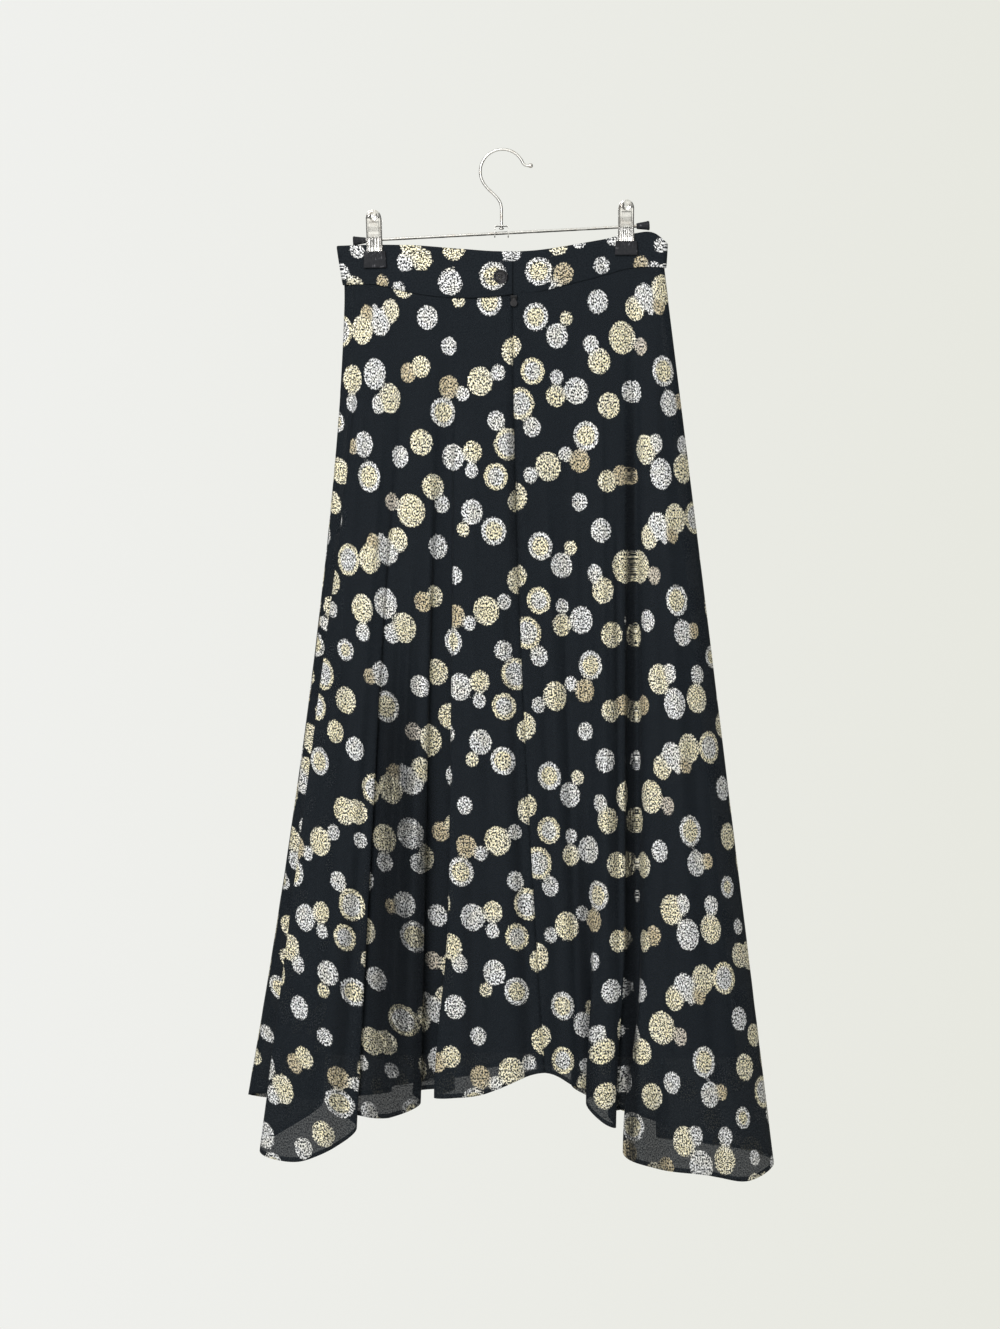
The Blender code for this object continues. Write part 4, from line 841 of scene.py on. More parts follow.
def chiffon_look(name, cover):
    """Black crepe chiffon with dots of cut metal thread. cover is one layer's opacity."""
    n = Nodes(name)
    u, v, dim = n.attribute("cloth")
    inside, middle, rim = n.attribute("dots")
    pleat_shade_mask = n.add("Attribute", attribute_name="pleat_shade_mask").outputs["Fac"]
    plane = n.add("CombineXYZ", {0: u, 1: v}).outputs[0]
    flakes = n.noise(n.stretched(plane, (0.58, 0.50, 1.0)), 1.0, 1.5, 0.75)
    fibres = n.noise(plane, 0.34, 3.0, 0.7)
    patch = n.noise(plane, 0.045, 2.0)
    fringe = n.noise(n.stretched(plane, (0.9, 0.55, 1.0)), 1.0, 1.0)
    wave = n.math("MULTIPLY", n.math("SUBTRACT", fibres, 0.5), 3.0)
    wave = n.math("ADD", wave, n.math("MULTIPLY", n.math("SUBTRACT", fringe, 0.5), 3.6))
    reach = n.math("ADD", inside, wave)
    dot = n.ramp(reach, -0.3, 0.3)
    streak = n.noise(n.stretched(plane, (0.42, 0.05, 1.0)), 1.0, 2.0, 0.6)
    # painted shade in the pleats: the dots dim there, in streaks
    pleat_shade = n.math("MULTIPLY", pleat_shade_mask, n.ramp(streak, 0.32, 0.52, 0.45, 1.0))
    bright = n.ramp(flakes, 0.56, 0.435, 0.0, 1.0)
    bright = n.math("MULTIPLY", bright, n.math("SUBTRACT", 1.0, pleat_shade))
    thread = n.math("MULTIPLY", dot, bright)
    centre = n.ramp(n.math("ADD", inside, n.math("MULTIPLY", wave, 0.8)), 3.4, 5.4)
    warmth = n.add("Mix", {0: centre, 2: rim, 3: middle}).outputs[0]
    warmth = n.math("ADD", warmth, n.ramp(patch, 0.35, 0.65, -0.15, 0.15), clamp=True)
    foil = n.mix(warmth, SILVER, GOLD)
    foil = n.mix(n.math("MULTIPLY", dim, 1.1, clamp=True), foil, BRONZE)
    # painted glints: bright specks mixed into the thread's colour
    glint = n.ramp(n.noise(n.stretched(plane, (0.66, 0.6, 1.0)), 1.0, 1.0), 0.50, 0.66, 0.0, 0.7)
    foil = n.mix(n.math("MULTIPLY", glint, n.math("SUBTRACT", 1.0, dim)), foil, GLINT)
    crepe = n.noise(n.stretched(plane, (0.75, 0.6, 1.0)), 1.0, 3.0, 0.65)
    ground = n.mix(n.ramp(crepe, 0.35, 0.65), BLACK_CLOTH, BLACK_THREAD)
    # painted shade: the cloth darkens in the pleats
    ground = n.mix(n.math("MULTIPLY", pleat_shade_mask, 0.7), ground, PLEAT_SHADE_CLOTH)
    base = n.mix(thread, ground, foil)
    thin = cover * 2 - min(cover + 0.05, 1.0)
    weave = n.ramp(crepe, 0.38, 0.62, min(cover + 0.05, 1.0), thin)
    alpha = n.math("MAXIMUM", weave, dot)
    rough = n.ramp(thread, 0.0, 1.0, 0.75, 0.5)
    metallic = n.math("MULTIPLY", thread, METAL_SHARE)
    bump = n.bump(n.math("ADD", crepe, n.math("MULTIPLY", thread, 0.8)), 0.3, 0.0005)
    n.set(Base_Color=base, Roughness=rough, Metallic=metallic, Alpha=alpha, Normal=bump)
    return n.set(Specular_IOR_Level=0.08, Sheen_Weight=0.015, Sheen_Roughness=0.5)


def object_space(n):
    return n.add("TexCoord").outputs["Object"]


def chrome_look(name="chrome", satin=0.0, painted_shade=None):
    """Plated steel wire and sheet. satin is added to its roughness, and the shading function
    given last, called with n and place, gives how much painted shade darkens each point."""
    n = Nodes(name)
    place = object_space(n)
    haze = n.noise(place, 130.0, 3.0, 0.6)
    rubbed = n.noise(n.stretched(place, (600.0, 600.0, 45.0)), 1.0, 2.0)
    base = n.mix(n.ramp(haze, 0.45, 0.75), STEEL, HAZED_STEEL)
    rough = n.ramp(haze, 0.3, 0.8, 0.13 + satin, 0.28 + satin)
    rough = n.math("ADD", rough, n.ramp(rubbed, 0.4, 0.7, 0, 0.06))
    if painted_shade:
        # painted shade: darkens the steel and roughens it there
        shaded = painted_shade(n, place)
        base = n.mix(shaded, base, SHADED_STEEL)
        rough = n.math("ADD", rough, n.math("MULTIPLY", shaded, 0.25))
    n.set(Base_Color=base, Roughness=rough, Normal=n.bump(haze, 0.04, 0.0002))
    return n.set(Metallic=1.0)


def bar_underside_shade(n, place):
    """Painted shade on the bar's underside, in patches along it."""
    x, _, z = n.add("SeparateXYZ", {0: place}).outputs
    level = n.math("SUBTRACT", z, n.math("MULTIPLY", x, math.tan(BAR_TILT)))
    axis = (BAR_CENTRE[1] - BAR_CENTRE[0] * math.tan(BAR_TILT)) * MM
    under = n.ramp(n.math("SUBTRACT", level, axis), 0.0, -0.0007)
    patches = n.ramp(n.noise(n.stretched(place, (90.0, 20.0, 20.0)), 1.0, 2.0), 0.3, 0.6)
    return n.math("MULTIPLY", under, n.math("ADD", 0.45, n.math("MULTIPLY", patches, 0.5)))


def facing(n):
    """The x, y and z of the way a point's surface faces."""
    return n.add("SeparateXYZ", {0: n.add("NewGeometry").outputs["Normal"]}).outputs


def hook_side_shade(n, _):
    """Painted shade: the hook's wire is darker round its sides and back than in front."""
    return n.ramp(facing(n)[1], -0.80, -0.30, 0.10, 0.62)


def strap_shade_and_dark_tips(n, place):
    """Painted shade on the strap's underside, and the ends of its legs are darker."""
    z = n.add("SeparateXYZ", {0: place}).outputs[2]
    tips = n.ramp(z, YOKE_BRIGHT_Z * MM, YOKE_DARK_Z * MM)
    return n.math("MAXIMUM", n.ramp(facing(n)[2], -0.4, -0.8, 0.0, 0.95), tips)


def rubber_look():
    n = Nodes("rubber")
    place = object_space(n)
    scuff = n.noise(n.stretched(place, (700.0, 700.0, 260.0)), 1.0, 3.0, 0.7)
    cloud = n.noise(place, 180.0, 2.0)
    worn = n.ramp(n.math("MULTIPLY", scuff, cloud), 0.30, 0.42)
    base = n.mix(worn, RUBBER, WORN_RUBBER)
    bump = n.bump(n.noise(place, 2200.0, 3.0), 0.25, 0.0002)
    n.set(Base_Color=base, Roughness=n.ramp(scuff, 0.3, 0.7, 0.55, 0.82), Normal=bump)
    return n.set(Specular_IOR_Level=0.22)


def button_look():
    n = Nodes("button")
    place = object_space(n)
    swirl = n.noise(n.stretched(place, (140.0, 140.0, 420.0)), 1.0, 3.0)
    base = n.mix(n.ramp(swirl, 0.35, 0.7), *BUTTON_COLOURS)
    bump = n.bump(n.noise(place, 900.0, 2.0), 0.06, 0.0002)
    n.set(Base_Color=base, Roughness=n.ramp(swirl, 0.3, 0.7, 0.22, 0.4), Normal=bump)
    return n.set(Specular_IOR_Level=0.3)


def lining_look():
    n = Nodes("lining")
    place = object_space(n)
    weft = n.noise(n.stretched(place, (300.0, 300.0, 3200.0)), 1.0, 2.0)
    warp = n.noise(n.stretched(place, (3000.0, 3000.0, 200.0)), 1.0, 2.0)
    weave = n.math("ADD", weft, warp)
    base = n.mix(n.ramp(weave, 0.7, 1.3), *LINING_COLOURS)
    bump = n.bump(weave, 0.15, 0.0002)
    n.set(Base_Color=base, Roughness=n.ramp(weave, 0.7, 1.3, 0.50, 0.66), Normal=bump)
    return n.set(Specular_IOR_Level=0.3)


def grained_look(name, scales, detail, span, colours, rough, bump):
    """A dull look from one noise: span is the noise's range from dark to light, and bump
    its strength and depth."""
    n = Nodes(name)
    grain = n.noise(n.stretched(object_space(n), scales), 1.0, *detail)
    base = n.mix(n.ramp(grain, *span), *colours)
    n.set(Base_Color=base, Roughness=n.ramp(grain, 0.3, 0.7, *rough))
    n.set(Normal=n.bump(grain, *bump))
    return n


def tape_look():
    scales = (2400.0, 600.0, 900.0)
    span, rough, bump = (0.35, 0.65), (0.7, 0.9), (0.3, 0.0003)
    n = grained_look("zip_tape", scales, (2.0,), span, TAPE_COLOURS, rough, bump)
    return n.set(Specular_IOR_Level=0.2)


def dark_metal_look():
    scales = (700.0, 700.0, 700.0)
    span, rough, bump = (0.5, 0.75), (0.32, 0.5), (0.1, 0.0002)
    n = grained_look("zip_metal", scales, (3.0, 0.6), span, ZIP_COLOURS, rough, bump)
    return n.set(Specular_IOR_Level=0.3, Metallic=0.3)


def thread_look():
    scales = (4000.0, 4000.0, 4000.0)
    span, rough, bump = (0.35, 0.65), (0.5, 0.8), (0.4, 0.0002)
    n = grained_look("thread", scales, (2.0,), span, THREAD_COLOURS, rough, bump)
    return n.material


# --- the waistband ------------------------------------------------------------------------------
BAND_PROFILE = [  # share of the height, and how far out from the band's middle
    (0.13, 0.30),
    (0.02, 0.34),
    (0.0, 0.55),
    (0.02, 0.80),
    (0.12, 0.98),
    (0.30, 1.02),
    (0.50, 1.04),
    (0.70, 1.00),
    (0.86, 0.93),
    (0.95, 0.80),
    (0.99, 0.50),
    (1.0, 0.0),
    (0.99, -0.50),
    (0.95, -0.75),
    (0.80, -0.85),
    (0.50, -0.88),
    (0.20, -0.85),
    (0.02, -0.75),
    (0.0, -0.55),
    (0.02, -0.34),
    (0.13, -0.30),
]
# the band's ends close over these columns: how thick it still is, and how far out it ends
BAND_SHUT = [(0.04, 0.35), (0.72, 0.2)]
# wrinkles of the band on its near face: x, z, half length, half width, slope, depth
BAND_WRINKLES = [
    (-45.0, -113.0, 15.0, 2.6, -0.58, -0.9),
    (-44.0, -108.0, 13.0, 2.2, -0.50, 0.7),
    (-80.0, -104.0, 10.0, 2.4, -0.35, -0.6),
    (-128.0, -126.0, 9.0, 2.0, 0.40, 0.5),
    (-112.0, -124.0, 9.0, 2.2, -0.45, -0.5),
    (70.0, -99.0, 14.0, 2.2, 0.22, 0.7),
    (66.0, -104.0, 16.0, 2.0, 0.20, -0.6),
    (108.0, -113.0, 9.0, 2.0, 0.55, 0.5),
    (141.0, -112.0, 10.0, 2.3, -0.40, -0.6),
    (146.0, -106.0, 9.0, 2.0, -0.55, 0.5),
    (20.0, -132.0, 12.0, 2.6, 0.10, 0.4),
    (-20.0, -138.0, 14.0, 2.6, -0.06, 0.4),
]


def band_plan():
    """The band's plan from its under end, round the waist, to its upper end: x, y, where
    it is along the print, and True on the near right side, behind the overlap."""
    depth = WAIST_HALF_DEPTH
    left, right = BAND_EDGES[0].x + depth, BAND_EDGES[-1].x - depth

    def straight(start, end, side, near_right):
        count = round(abs(end - start) / BAND_STEP) + 1
        swell = NEAR_BULGE if side < 0 else FAR_BULGE
        return [
            (x, side * (depth + swell * bulge(x)), x if side < 0 else 2 * right - x, near_right)
            for x in np.linspace(start, end, count)
        ]

    def turn(centre, first_angle, print_at):
        made = []
        for step in BAND_TURN:
            angle = math.radians(first_angle + step)
            x, y = centre + depth * math.cos(angle), depth * math.sin(angle)
            made.append((x, y, print_at, False))
        return made

    return (
        straight(UNDERLAP_END_X, right, -1, True)
        + turn(right, -90, right)
        + straight(right, left, 1, False)
        + turn(left, 90, left)
        + straight(left, OVERLAP_END_X, -1, False)
    )


def overlap_shift(x, near_right):
    """How far the band's lower layer lies back at the overlap, and its upper layer forward."""
    past = x - OVERLAP_END_X if near_right else UNDERLAP_END_X - x
    shift = OVERLAP_SHIFT * (1 - smoothstep((past - OVERLAP_MARGIN) / OVERLAP_EASE))
    return shift if near_right else -shift


def band_piece(look):
    plan = band_plan()
    ends = len(BAND_SHUT)
    plan = [plan[0]] * ends + plan + [plan[-1]] * ends
    squeeze = np.ones(len(plan))
    nudge = np.zeros(len(plan))
    for k, (thin, out) in enumerate(BAND_SHUT):
        squeeze[[k, -1 - k]] = thin
        nudge[[k, -1 - k]] = (-out, out)
    base, top = [], []
    for k, (x, y, _, near_right) in enumerate(plan):
        flare = BAND_FLARE_LEFT if x < 0 else BAND_FLARE_RIGHT
        shift = overlap_shift(x, near_right) if y < -WAIST_HALF_DEPTH else 0.0
        x += nudge[k]
        low, high = float(band_edge(x, "low")), float(band_edge(x, "top"))
        base.append((x, y + shift, low))
        top.append((x * flare, y + shift, high))
    base, top = np.array(base), np.array(top)
    along = np.gradient(base[ends:-ends], axis=0)
    along = np.concatenate([along[:1]] * ends + [along] + [along[-1:]] * ends)
    outward = np.cross(along, (0.0, 0.0, 1.0))
    outward /= np.linalg.norm(outward, axis=1, keepdims=True)
    rows = []
    for share, away in BAND_PROFILE:
        row = base + (top - base) * share
        row = row + outward * (away * squeeze)[:, None]
        rows.append(row)
    grid = np.array(rows)
    grid[:, :, 1] -= band_wrinkles(grid) * np.array([p[1] for p in BAND_PROFILE])[:, None]
    printed = np.array([p[2] for p in plan])
    u = np.repeat(printed[None, :], len(BAND_PROFILE), axis=0)
    v = grid[:, :, 2]
    dots = nearest_dots(u, v, BAND_DOTS, BAND_WIDE, 0.0)
    attributes = {
        "cloth": np.stack([u, v, dots[:, :, 3]], axis=2),
        "dots": dots[:, :, :3],
        "pleat_shade_mask": np.zeros_like(u),
    }
    data = grid_mesh("band", grid, attributes)
    return add_piece("band", data, look, ["waistband"])


def band_wrinkles(grid):
    x, z = grid[:, :, 0], grid[:, :, 2]
    out = np.zeros_like(x)
    for wx, wz, long, wide, slope, depth in BAND_WRINKLES:
        along, across = x - wx, z - wz - slope * (x - wx)
        out += depth * np.exp(-((along / long) ** 2) - (across / wide) ** 2)
    return out


# --- the hanger --------------------------------------------------------------------------------
# The clips, the spring and the hook repeat the CAD part's measures, with the pressed ribs,
# the knurled panel, the rounded rims and the coils that its plain solids leave out.
Clip = namedtuple("Clip", "name x plate_low_z jaw_low_z tilt grooves")
CLIPS = [
    Clip("clip_left", -127.7, -102.3, -117.7, math.radians(1.7), 4),
    Clip("clip_right", 123.6, -92.0, -105.0, 0.0, 6),
]
PLATE_HEIGHT = 42.0
PLATE_SHEET = 0.9
PLATE_HALF = 7.7
PLATE_HALF_LOW = 8.4
PLATE_NARROWED = 14.0
PLATE_STRAIGHT = 33.6  # above this height the plate's outline is round
PLATE_LEAST = 0.35  # half its width at the very top
PLATE_Y = [(0.0, 5.3), (5.0, 5.4), (15.1, 5.9), (25.2, 8.2), (33.6, 10.6), (42.0, 11.5)]
PLATE_CELLS = (44, 100)  # cells across and up
HOLE_RADIUS = 2.1
HOLE_HEIGHT = 35.8
DISH_RADIUS = 4.6
DISH_DEPTH = 0.8
RIM_WIDE = 1.5
RIM_CURL = 1.0
GROOVE_IN = 2.1  # the groove inside the rim: how far in, how deep, half its width
GROOVE_DEPTH = 0.22
GROOVE_HALF = 0.38
RIB_TOP = 16.0  # the grooves between the ribs end here, on an arch
RIB_ARCH = 2.5
RIB_EASE = 1.6
RIB_DEPTH = 0.45
RIB_GROOVE_HALF = 0.36
RIB_MARGIN = 1.6  # they start this far inside the outline
KNURL_PITCH = 1.9
KNURL_DEPTH = 0.13
KNURL_RAISED = 0.16
KNURL_LOW, KNURL_HIGH = 18.5, 30.5
KNURL_EASE = 1.5
KNURL_MARGIN = 2.2
JAW_HALF = 11.6
JAW_TAPER = 0.9  # how much narrower it is at the top, each side
JAW_THICK = 3.0
JAW_Y = 5.15
JAW_LAP = 1.2  # how far it runs up over the plate's foot
JAW_ROUND = 1.1
JAW_CORNER, JAW_CORNER_TOP = 0.8, 0.4
JAW_CORNER_HEIGHT = 0.6
JAW_CELLS = (40, 26)
FLUTE_DEPTH = 0.128
FLUTE_PITCH = 3.8
LIP_DEPTH = 0.28
LIP_HEIGHT = 2.4
JAW_BOW = 0.20  # its middle stands out by this much
BAR_CENTRE = (-1.0, -82.5)
BAR_TILT = math.radians(3.0)
SPRING_WIRE = 0.62
SPRING_COIL = 3.0
SPRING_LENGTH = 8.6
SPRING_TURNS = 6
SPRING_STEPS = 18  # points a turn
HOOK_WIRE = 1.4
HOOK_ARC_RADIUS = 22.2
HOOK_POINTS = [  # x, z and the wire's radius, from the riveted foot to the arc
    (-1.0, -79.0, 1.2),
    (-1.0, -78.5, 2.3),
    (-1.0, -77.4, 2.5),
    (-1.0, -77.0, 1.5),
    (-1.0, -76.4, 1.4),
    (-1.0, -66.0, 1.4),
    (-1.0, -60.0, 1.4),
    (-1.3, -55.6, 1.4),
    (-2.4, -51.6, 1.4),
    (-5.2, -47.2, 1.4),
    (-9.8, -42.4, 1.4),
    (-14.2, -38.4, 1.4),
]
HOOK_TIP = [
    (22.6, -14.3, 1.4),
    (24.6, -14.8, 1.4),
    (26.0, -14.9, 1.6),
    (27.0, -14.9, 2.1),
    (28.2, -14.9, 2.3),
    (29.4, -14.9, 2.05),
    (30.2, -14.9, 1.2),
    (30.4, -14.9, 0.3),
]
HOOK_START, HOOK_END = 216.0, 22.0  # degrees, where its arc begins and ends
HOOK_LEAST = 0.2  # the wire's least radius, at its end
YOKE_HALF = 7.2
YOKE_TOP_Z = -74.7
YOKE_HEIGHT = 12.0
YOKE_BEND = 2.0
YOKE_SHEET = 0.5  # half its sheet's thickness
YOKE_HALF_DEPTH = 4.5
YOKE_NARROWED = 2.2  # its legs' tips are this much narrower, each side,
YOKE_NARROWING = 3.0  # over this length
YOKE_SECTION = [  # share of its half depth, and millimetres through the sheet
    *[(-1, -0.3), (-0.9, -0.5), (0.9, -0.5), (1, -0.3)],
    *[(1, 0.3), (0.9, 0.5), (-0.9, 0.5), (-1, 0.3)],
]
YOKE_BRIGHT_Z, YOKE_DARK_Z = -84.8, -86.2  # its legs grow darker from here to here


def free_mesh(name, points, faces):
    data = bpy.data.meshes.new(name)
    data.from_pydata((np.asarray(points) * MM).tolist(), [], faces)
    data.update()
    return data


def slab_mesh(name, half_at, height, cells, front_y, back_y, hole=None):
    """A plate or pad between two surfaces. half_at(z) is its half width, and front_y and
    back_y give the depth at x and z; hole is its height and radius."""
    across, up = cells
    heights = height * (1 - np.cos(np.pi * np.linspace(0.0, 1.0, up + 1))) / 2
    shares = np.sin(np.pi / 2 * np.linspace(-1.0, 1.0, across + 1))
    halves = np.array([half_at(z) for z in heights])
    x = shares[None, :] * halves[:, None]
    z = np.repeat(heights[:, None], across + 1, axis=1)
    keep = np.ones((up, across), bool)
    if hole:
        centre, radius = hole
        off = np.hypot(x, z - centre)
        in_hole = off < radius
        keep = ~(in_hole[:-1, :-1] & in_hole[1:, :-1] & in_hole[1:, 1:] & in_hole[:-1, 1:])
        push = np.where(in_hole, radius / np.maximum(off, 1e-6), 1.0)
        x, z = x * push, centre + (z - centre) * push
    number = np.arange(x.size).reshape(x.shape)
    quads = np.stack([number[:-1, :-1], number[:-1, 1:], number[1:, 1:], number[1:, :-1]], 2)
    quads = quads[keep].tolist()
    points = np.concatenate(
        [
            np.stack([x, front_y(x, z), z], axis=2).reshape(-1, 3),
            np.stack([x, back_y(x, z), z], axis=2).reshape(-1, 3),
        ]
    )
    count = x.size
    faces = quads + [[k + count for k in quad[::-1]] for quad in quads]
    edges = {}  # used as a set that keeps its order
    for quad in quads:
        for one, two in zip(quad, quad[1:] + quad[:1]):
            edges[(one, two)] = True
    for one, two in edges:
        if (two, one) not in edges:
            faces.append([two, one, one + count, two + count])
    used = sorted({k for face in faces for k in face})
    place = {k: i for i, k in enumerate(used)}
    faces = [[place[k] for k in face] for face in faces]
    return free_mesh(name, points[used], faces)


def plate_half(z):
    half = PLATE_HALF_LOW + (PLATE_HALF - PLATE_HALF_LOW) * min(z / PLATE_NARROWED, 1.0)
    if z <= PLATE_STRAIGHT:
        return half
    rise = (z - PLATE_STRAIGHT) / (PLATE_HEIGHT - PLATE_STRAIGHT)
    return max(PLATE_HALF * math.sqrt(max(1 - rise * rise, 0.0)), PLATE_LEAST)


def plate_rim(x, z):
    """Distance from the plate's outline, all round but at its foot."""
    halves = np.vectorize(plate_half)(np.minimum(z, PLATE_STRAIGHT))
    rise = np.maximum(z - PLATE_STRAIGHT, 0.0) * PLATE_HALF / (PLATE_HEIGHT - PLATE_STRAIGHT)
    return halves - np.hypot(x, rise)


def plate_relief(x, z, grooves):
    """How far the plate's face stands out over its middle surface."""
    rim = plate_rim(x, z)
    out = -RIM_CURL * (1 - smoothstep(rim / RIM_WIDE)) ** 2
    out -= GROOVE_DEPTH * np.exp(-(((rim - GROOVE_IN) / GROOVE_HALF) ** 2))
    pitch = 2 * (PLATE_HALF_LOW - GROOVE_IN) / grooves
    from_groove = np.abs(x / pitch - np.round(x / pitch)) * pitch
    in_ribs = smoothstep((RIB_TOP - z - RIB_ARCH * (x / PLATE_HALF) ** 2) / RIB_EASE)
    in_ribs = in_ribs * smoothstep((rim - RIB_MARGIN) / 0.8)
    out -= RIB_DEPTH * in_ribs * np.exp(-((from_groove / RIB_GROOVE_HALF) ** 2))
    in_panel = smoothstep((z - KNURL_LOW) / KNURL_EASE)
    in_panel = in_panel * smoothstep((KNURL_HIGH - z) / KNURL_EASE)
    in_panel = in_panel * smoothstep(rim - KNURL_MARGIN)
    turn = 2 * np.pi / KNURL_PITCH * math.sqrt(0.5)
    knurl = np.cos(turn * (x + z)) * np.cos(turn * (x - z))
    out += in_panel * (KNURL_RAISED + KNURL_DEPTH * knurl)
    dish = np.hypot(x, z - HOLE_HEIGHT)
    out -= DISH_DEPTH * (1 - smoothstep((dish - HOLE_RADIUS) / (DISH_RADIUS - HOLE_RADIUS)))
    return out


def held(piece, clip):
    """Turns a clip's mesh with its clip and puts it in its place."""
    turn = Matrix.Rotation(-clip.tilt, 4, "Y")
    move = Matrix.Translation(Vector((clip.x, 0.0, clip.plate_low_z)) * MM)
    piece.transform(move @ turn)
    return piece


def add_clip(clip, chrome, rubber):
    depths = np.array(PLATE_Y)
    jaw_height = clip.plate_low_z - clip.jaw_low_z + JAW_LAP
    for where, side in (("front", -1), ("back", 1)):

        def outer(x, z, side=side):
            out = np.interp(z, depths[:, 0], depths[:, 1]) + PLATE_SHEET / 2
            return side * (out + plate_relief(x, z, clip.grooves))

        def inner(x, z, side=side):
            return outer(x, z) - side * PLATE_SHEET

        name = f"{clip.name}_{where}_plate"
        hole = (HOLE_HEIGHT, HOLE_RADIUS)
        data = slab_mesh(name, plate_half, PLATE_HEIGHT, PLATE_CELLS, outer, inner, hole)
        if side > 0:
            data.flip_normals()
        add_piece(f"{name}_pressed", held(data, clip), chrome, [name])
        name = f"{clip.name}_{where}_jaw"
        data = jaw_mesh(name, side, jaw_height)
        add_piece(f"{name}_pad", held(data, clip), rubber, [name])
    name = clip.name + "_spring"
    add_piece(f"{name}_coil", spring_mesh(name, clip.x), chrome, [name])


def jaw_mesh(name, side, height):
    """A rubber jaw: a pad with rounded edges and corners, a lip above and worn flutes."""

    def half(z):
        low = min(z / JAW_ROUND, 1.0)
        high = min((height - z) / JAW_CORNER_HEIGHT, 1.0)
        corner = JAW_CORNER * (1 - math.sqrt(max(1 - (1 - low) ** 2, 0.0)))
        return JAW_HALF - JAW_TAPER * (z / height) - corner - JAW_CORNER_TOP * (1 - high)

    def rounded(x, z):
        halves = np.vectorize(half)(z)
        edge = np.minimum(np.minimum(halves - np.abs(x), z), height - z)
        inside = np.clip(edge / JAW_ROUND, 0.0, 1.0)
        return JAW_ROUND * (1 - np.sqrt(1 - (1 - inside) ** 2))

    def outer(x, z):
        flutes = np.cos(2 * np.pi * x / FLUTE_PITCH) * smoothstep((z - height * 0.45) / 3.0)
        lip = smoothstep((z - height + LIP_HEIGHT) / 0.8)
        out = FLUTE_DEPTH * flutes + LIP_DEPTH * lip + JAW_BOW * (1 - (x / JAW_HALF) ** 2)
        return side * (JAW_Y + JAW_THICK / 2 - rounded(x, z) + out)

    def inner(x, z):
        return side * (JAW_Y - JAW_THICK / 2 + rounded(x, z) * 0.6)

    data = slab_mesh(name, half, height, JAW_CELLS, outer, inner)
    data.transform(Matrix.Translation((0.0, 0.0, (JAW_LAP - height) * MM)))
    if side > 0:
        data.flip_normals()
    return data


def bar_height(x):
    return BAR_CENTRE[1] + (x - BAR_CENTRE[0]) * math.tan(BAR_TILT)


def tube_mesh(name, points, radii, sides=12):
    """A round tube through the points, closed at both ends."""
    points = np.asarray(points, float)
    radii = np.broadcast_to(radii, len(points))
    ahead = np.gradient(points, axis=0)
    ahead /= np.linalg.norm(ahead, axis=1, keepdims=True)
    side = np.cross(ahead[0], (0.31, 0.87, 0.38))
    turns = 2 * np.pi * np.arange(sides) / sides
    rings = []
    for k in range(len(points)):
        side = side - ahead[k] * (side @ ahead[k])
        side /= np.linalg.norm(side)
        other = np.cross(ahead[k], side)
        ring = np.cos(turns)[:, None] * side + np.sin(turns)[:, None] * other
        rings.append(points[k] + ring * radii[k])
    faces = []
    for k in range(len(points) - 1):
        for m in range(sides):
            after = (m + 1) % sides
            one, two = k * sides, (k + 1) * sides
            faces.append([one + m, one + after, two + after, two + m])
    faces.append(list(range(sides))[::-1])
    faces.append([(len(points) - 1) * sides + m for m in range(sides)])
    return free_mesh(name, np.concatenate(rings), faces)


def spring_mesh(name, x):
    """The clip's coil spring, wound round the bar."""
    steps = SPRING_TURNS * SPRING_STEPS
    share = np.linspace(0.0, 1.0, steps + 1)
    angle = 2 * np.pi * SPRING_TURNS * share - np.pi / 2
    along = (share - 0.5) * SPRING_LENGTH
    coil = np.stack([along, SPRING_COIL * np.cos(angle), SPRING_COIL * np.sin(angle)], axis=1)
    tilt = np.array([[math.cos(BAR_TILT), 0.0, math.sin(BAR_TILT)]])
    points = coil[:, :1] * tilt + coil[:, 1:2] * [[0, 1, 0]] + coil[:, 2:] * [[0, 0, 1]]
    points += np.array([x, 0.0, bar_height(x)])
    return tube_mesh(name, points, SPRING_WIRE, 8)


def smooth_line(points, steps):
    """A smooth open line through the points, whatever each carries."""
    points = np.asarray(points, float)
    ends = np.concatenate([2 * points[:1] - points[1:2], points, 2 * points[-1:] - points[-2:-1]])
    made = []
    for k in range(1, len(ends) - 2):
        p0, p1, p2, p3 = ends[k - 1 : k + 3]
        for t in np.arange(steps) / steps:
            bend = 2 * p0 - 5 * p1 + 4 * p2 - p3
            twist = 3 * p1 - p0 - 3 * p2 + p3
            made.append(0.5 * (2 * p1 + (p2 - p0) * t + bend * t * t + twist * t**3))
    made.append(points[-1])
    return np.array(made)


def hook_mesh():
    arc = []
    for angle in np.radians(np.linspace(HOOK_START, HOOK_END, 21)):
        x = HOOK_ARC_RADIUS * math.cos(angle)
        z = HOOK_WIRE - HOOK_ARC_RADIUS + HOOK_ARC_RADIUS * math.sin(angle)
        arc.append((x, z, HOOK_WIRE))
    line = smooth_line(HOOK_POINTS + arc + HOOK_TIP, 4)
    points = np.stack([line[:, 0], np.zeros(len(line)), line[:, 1]], axis=1)
    return tube_mesh("hook", points, np.maximum(line[:, 2], HOOK_LEAST), 20)


